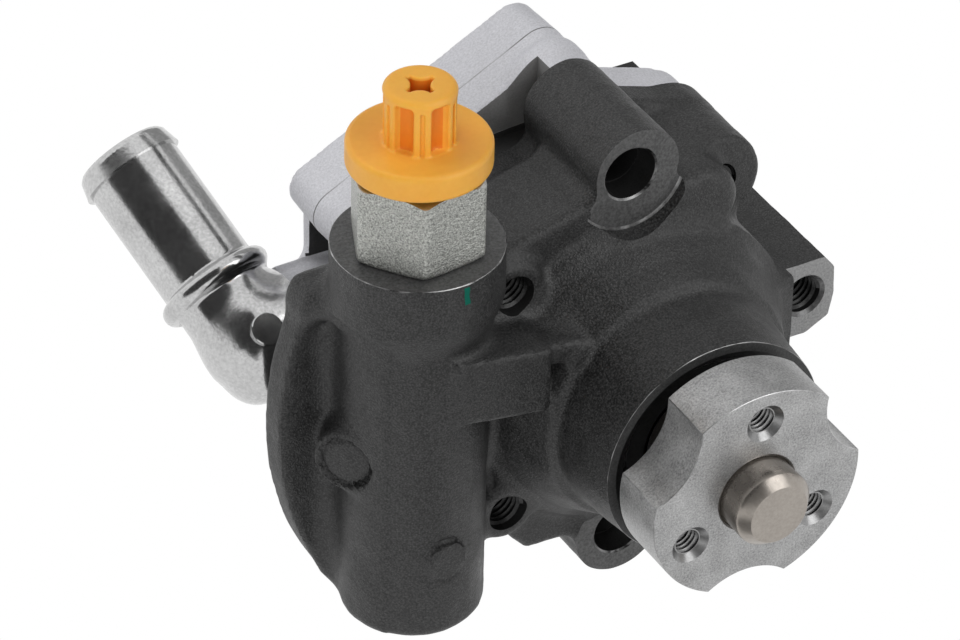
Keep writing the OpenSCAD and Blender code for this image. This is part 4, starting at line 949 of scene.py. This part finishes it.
# Drive shaft: nose, hub seat, bearing seat, collar and splined end
SHAFT = [(0, -7.5), (6.0, -7.5), (6.12, -7.42), (7.3, -5.95), (7.72, -5.55), (7.8, -5.35), (7.8, -3.75),
         (7.72, -3.65), (7.72, 0.5), (8.0, 0.8), (8, 14), (8.5, 14.5), (8.5, 31), (10.3, 31), (10.3, 32.4),
         (8.5, 32.4), (8.5, 51.6), (6, 51.6), (6, 80.5), (5.5, 81), (0, 81)]
TOOTH_TIP, TOOTH_ROOT, TEETH = 7.6, 6.9, 18
SPLINE_FRONT, SPLINE_END = 51.1, 67.15
shaft = lathe("shaft_turned", SHAFT, ORIGIN, ALONG_Y, NOSE, 128)
spline = [polar(TOOTH_ROOT if i % 2 else TOOTH_TIP, 180 * i / TEETH) for i in range(2 * TEETH)]
carve(shaft, [prism("tool_spline", spline, SPLINE_FRONT, SPLINE_END, NOSE)], 25, "UNION")
clip_groove = sleeve(6.5, 9.5, SPLINE_END - 1.2, SPLINE_END)
carve(shaft, [tool("clip", clip_groove, ORIGIN, ALONG_Y, NOSE)], 25)
place(shaft, "drive", "drive_shaft")

# Carried-over solids keep their shapes and get their surfaces
LOOKS = {
    "cover_bolts": BLACK, "cover_seal_ring": RUBBER, "shaft_bush": BRONZE, "elbow_seal_ring": RUBBER,
    "union_seal_ring": RUBBER, "bearing_outer_race": GROUND,
    "bearing_inner_race": GROUND, "bearing_balls": GROUND, "bearing_cage": BRONZE,
    "bearing_shields": BLACK, "bearing_circlip": BLACK, "shaft_seal": RUBBER, "seal_spring": GROUND,
    "plate_spring": GROUND, "front_plate": SINTER, "cam_ring": SINTER, "rear_plate": SINTER,
    "dowel_pins": GROUND, "rotor": SINTER, "rotor_circlip": BLACK, "valve_spool": GROUND,
    "valve_spring": GROUND,
}
LOOKS.update({"vane_%02d" % i: GROUND for i in range(1, 11)})
for name, material in LOOKS.items():
    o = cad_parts[name]
    o.data.materials.clear()
    o.data.materials.append(material)

# Floor, backdrop, light and cards of painted reflection, in metres
low_z = CAD_BOX[0][2]


def seen(tree):
    """1 for rays that show the background: from the camera, or by way of gloss or glass."""
    path = node(tree, "LightPath")
    direct = calc(tree, "MAXIMUM", path.outputs["Is Camera Ray"], path.outputs["Is Glossy Ray"])
    return calc(tree, "MAXIMUM", direct, path.outputs["Is Transmission Ray"])


def empty_material(name):
    m = bpy.data.materials.new(name)
    m.use_nodes = True
    m.node_tree.nodes.clear()
    return m


def show(tree, shader, kind="Material"):
    """Lead a shader to the tree's output."""
    out = tree.nodes.new("ShaderNodeOutput" + kind)
    tree.links.new(shader.outputs[0], out.inputs["Surface"])


def sheet(name, w, h, material):
    me = bpy.data.meshes.new(name)
    corners = [(-w / 2, -h / 2, 0), (w / 2, -h / 2, 0), (w / 2, h / 2, 0), (-w / 2, h / 2, 0)]
    me.from_pydata(corners, [], [[0, 1, 2, 3]])
    me.materials.append(material)
    o = bpy.data.objects.new(name, me)
    scene.collection.objects.link(o)
    return o


pale = empty_material("floor_pale")
t = pale.node_tree
mix = t.nodes.new("ShaderNodeMixShader")
t.links.new(seen(t), mix.inputs[0])
t.links.new(node(t, "BsdfDiffuse", Color=(0.8, 0.8, 0.8, 1)).outputs[0], mix.inputs[1])
t.links.new(node(t, "Emission", Color=(1, 1, 1, 1), Strength=1.0).outputs[0], mix.inputs[2])
show(t, mix)
ground = sheet("floor", 6, 6, pale)
ground.location.z = low_z - 0.0005

world = bpy.data.worlds.new("studio")
scene.world = world
world.use_nodes = True
t = world.node_tree
t.nodes.clear()
strength = remap(t, seen(t), 0.0, 1.0, 0.26, 1.0)
show(t, node(t, "Background", Color=(1, 1, 1, 1), Strength=strength), "World")


def lamp(name, at, size, power, shine=True):
    """Soft round lamp aimed at the middle of the pump."""
    d = bpy.data.lights.new(name, "AREA")
    d.shape = "DISK"
    d.size = size
    d.energy = power
    o = bpy.data.objects.new(name, d)
    o.location = at
    o.rotation_euler = (MIDDLE - Vector(at)).to_track_quat("-Z", "Y").to_euler()
    o.visible_glossy = shine
    scene.collection.objects.link(o)


def card(name, at, target, along, w, h, level):
    """Emitting panel that only gloss sees, a painted reflection of a light or dark surrounding; its height
    runs along a given direction.
    """
    m = empty_material(name)
    show(m.node_tree, node(m.node_tree, "Emission", Color=(level, level, level, 1), Strength=1.0))
    o = sheet(name, w, h, m)
    z = (Vector(target) - Vector(at)).normalized()
    y = Vector(along)
    y = (y - y.dot(z) * z).normalized()
    o.matrix_world = Matrix.Translation(Vector(at)) @ Matrix((y.cross(z), y, z)).transposed().to_4x4()
    for kind in ("camera", "diffuse", "shadow", "transmission", "volume_scatter"):
        setattr(o, "visible_" + kind, False)


MIDDLE = Vector((0, 0.04, 0))
lamp("key", (0.45, -0.62, 0.75), 0.9, 3.4)
lamp("left", (-0.85, -0.75, 0.45), 0.8, 5.6, False)
lamp("rim", (-0.35, 0.65, 0.85), 1.0, 4.2, False)
PIPE_AT = Vector((-0.065, 0.1, 0.015))
# Painted reflections for the elbow's plating: a dark field, a thin dark band and a grey band.
card("card_dark", PIPE_AT + Vector((-0.695, -0.394, 0.602)), PIPE_AT, ALONG, 1.9, 1.5, 0.06)
card("card_line", PIPE_AT + 1.1 * Vector((0.70, -0.09, 0.71)), PIPE_AT, ALONG, 0.24, 1.4, 0.08)
card("card_grey", PIPE_AT + 1.15 * Vector((0.86, 0.42, 0.30)), PIPE_AT, ALONG, 0.9, 1.7, 0.40)
# Painted shadow: a dim sheet just above the floor under the pump, seen only in gloss, stands for the shade
# there.
card("painted_shadow_card", (-0.055, -0.07, low_z + 0.0008), (-0.055, -0.07, 0), ALONG_Y, 0.07, 0.11, 0.2)
scene.view_settings.view_transform = "Standard"
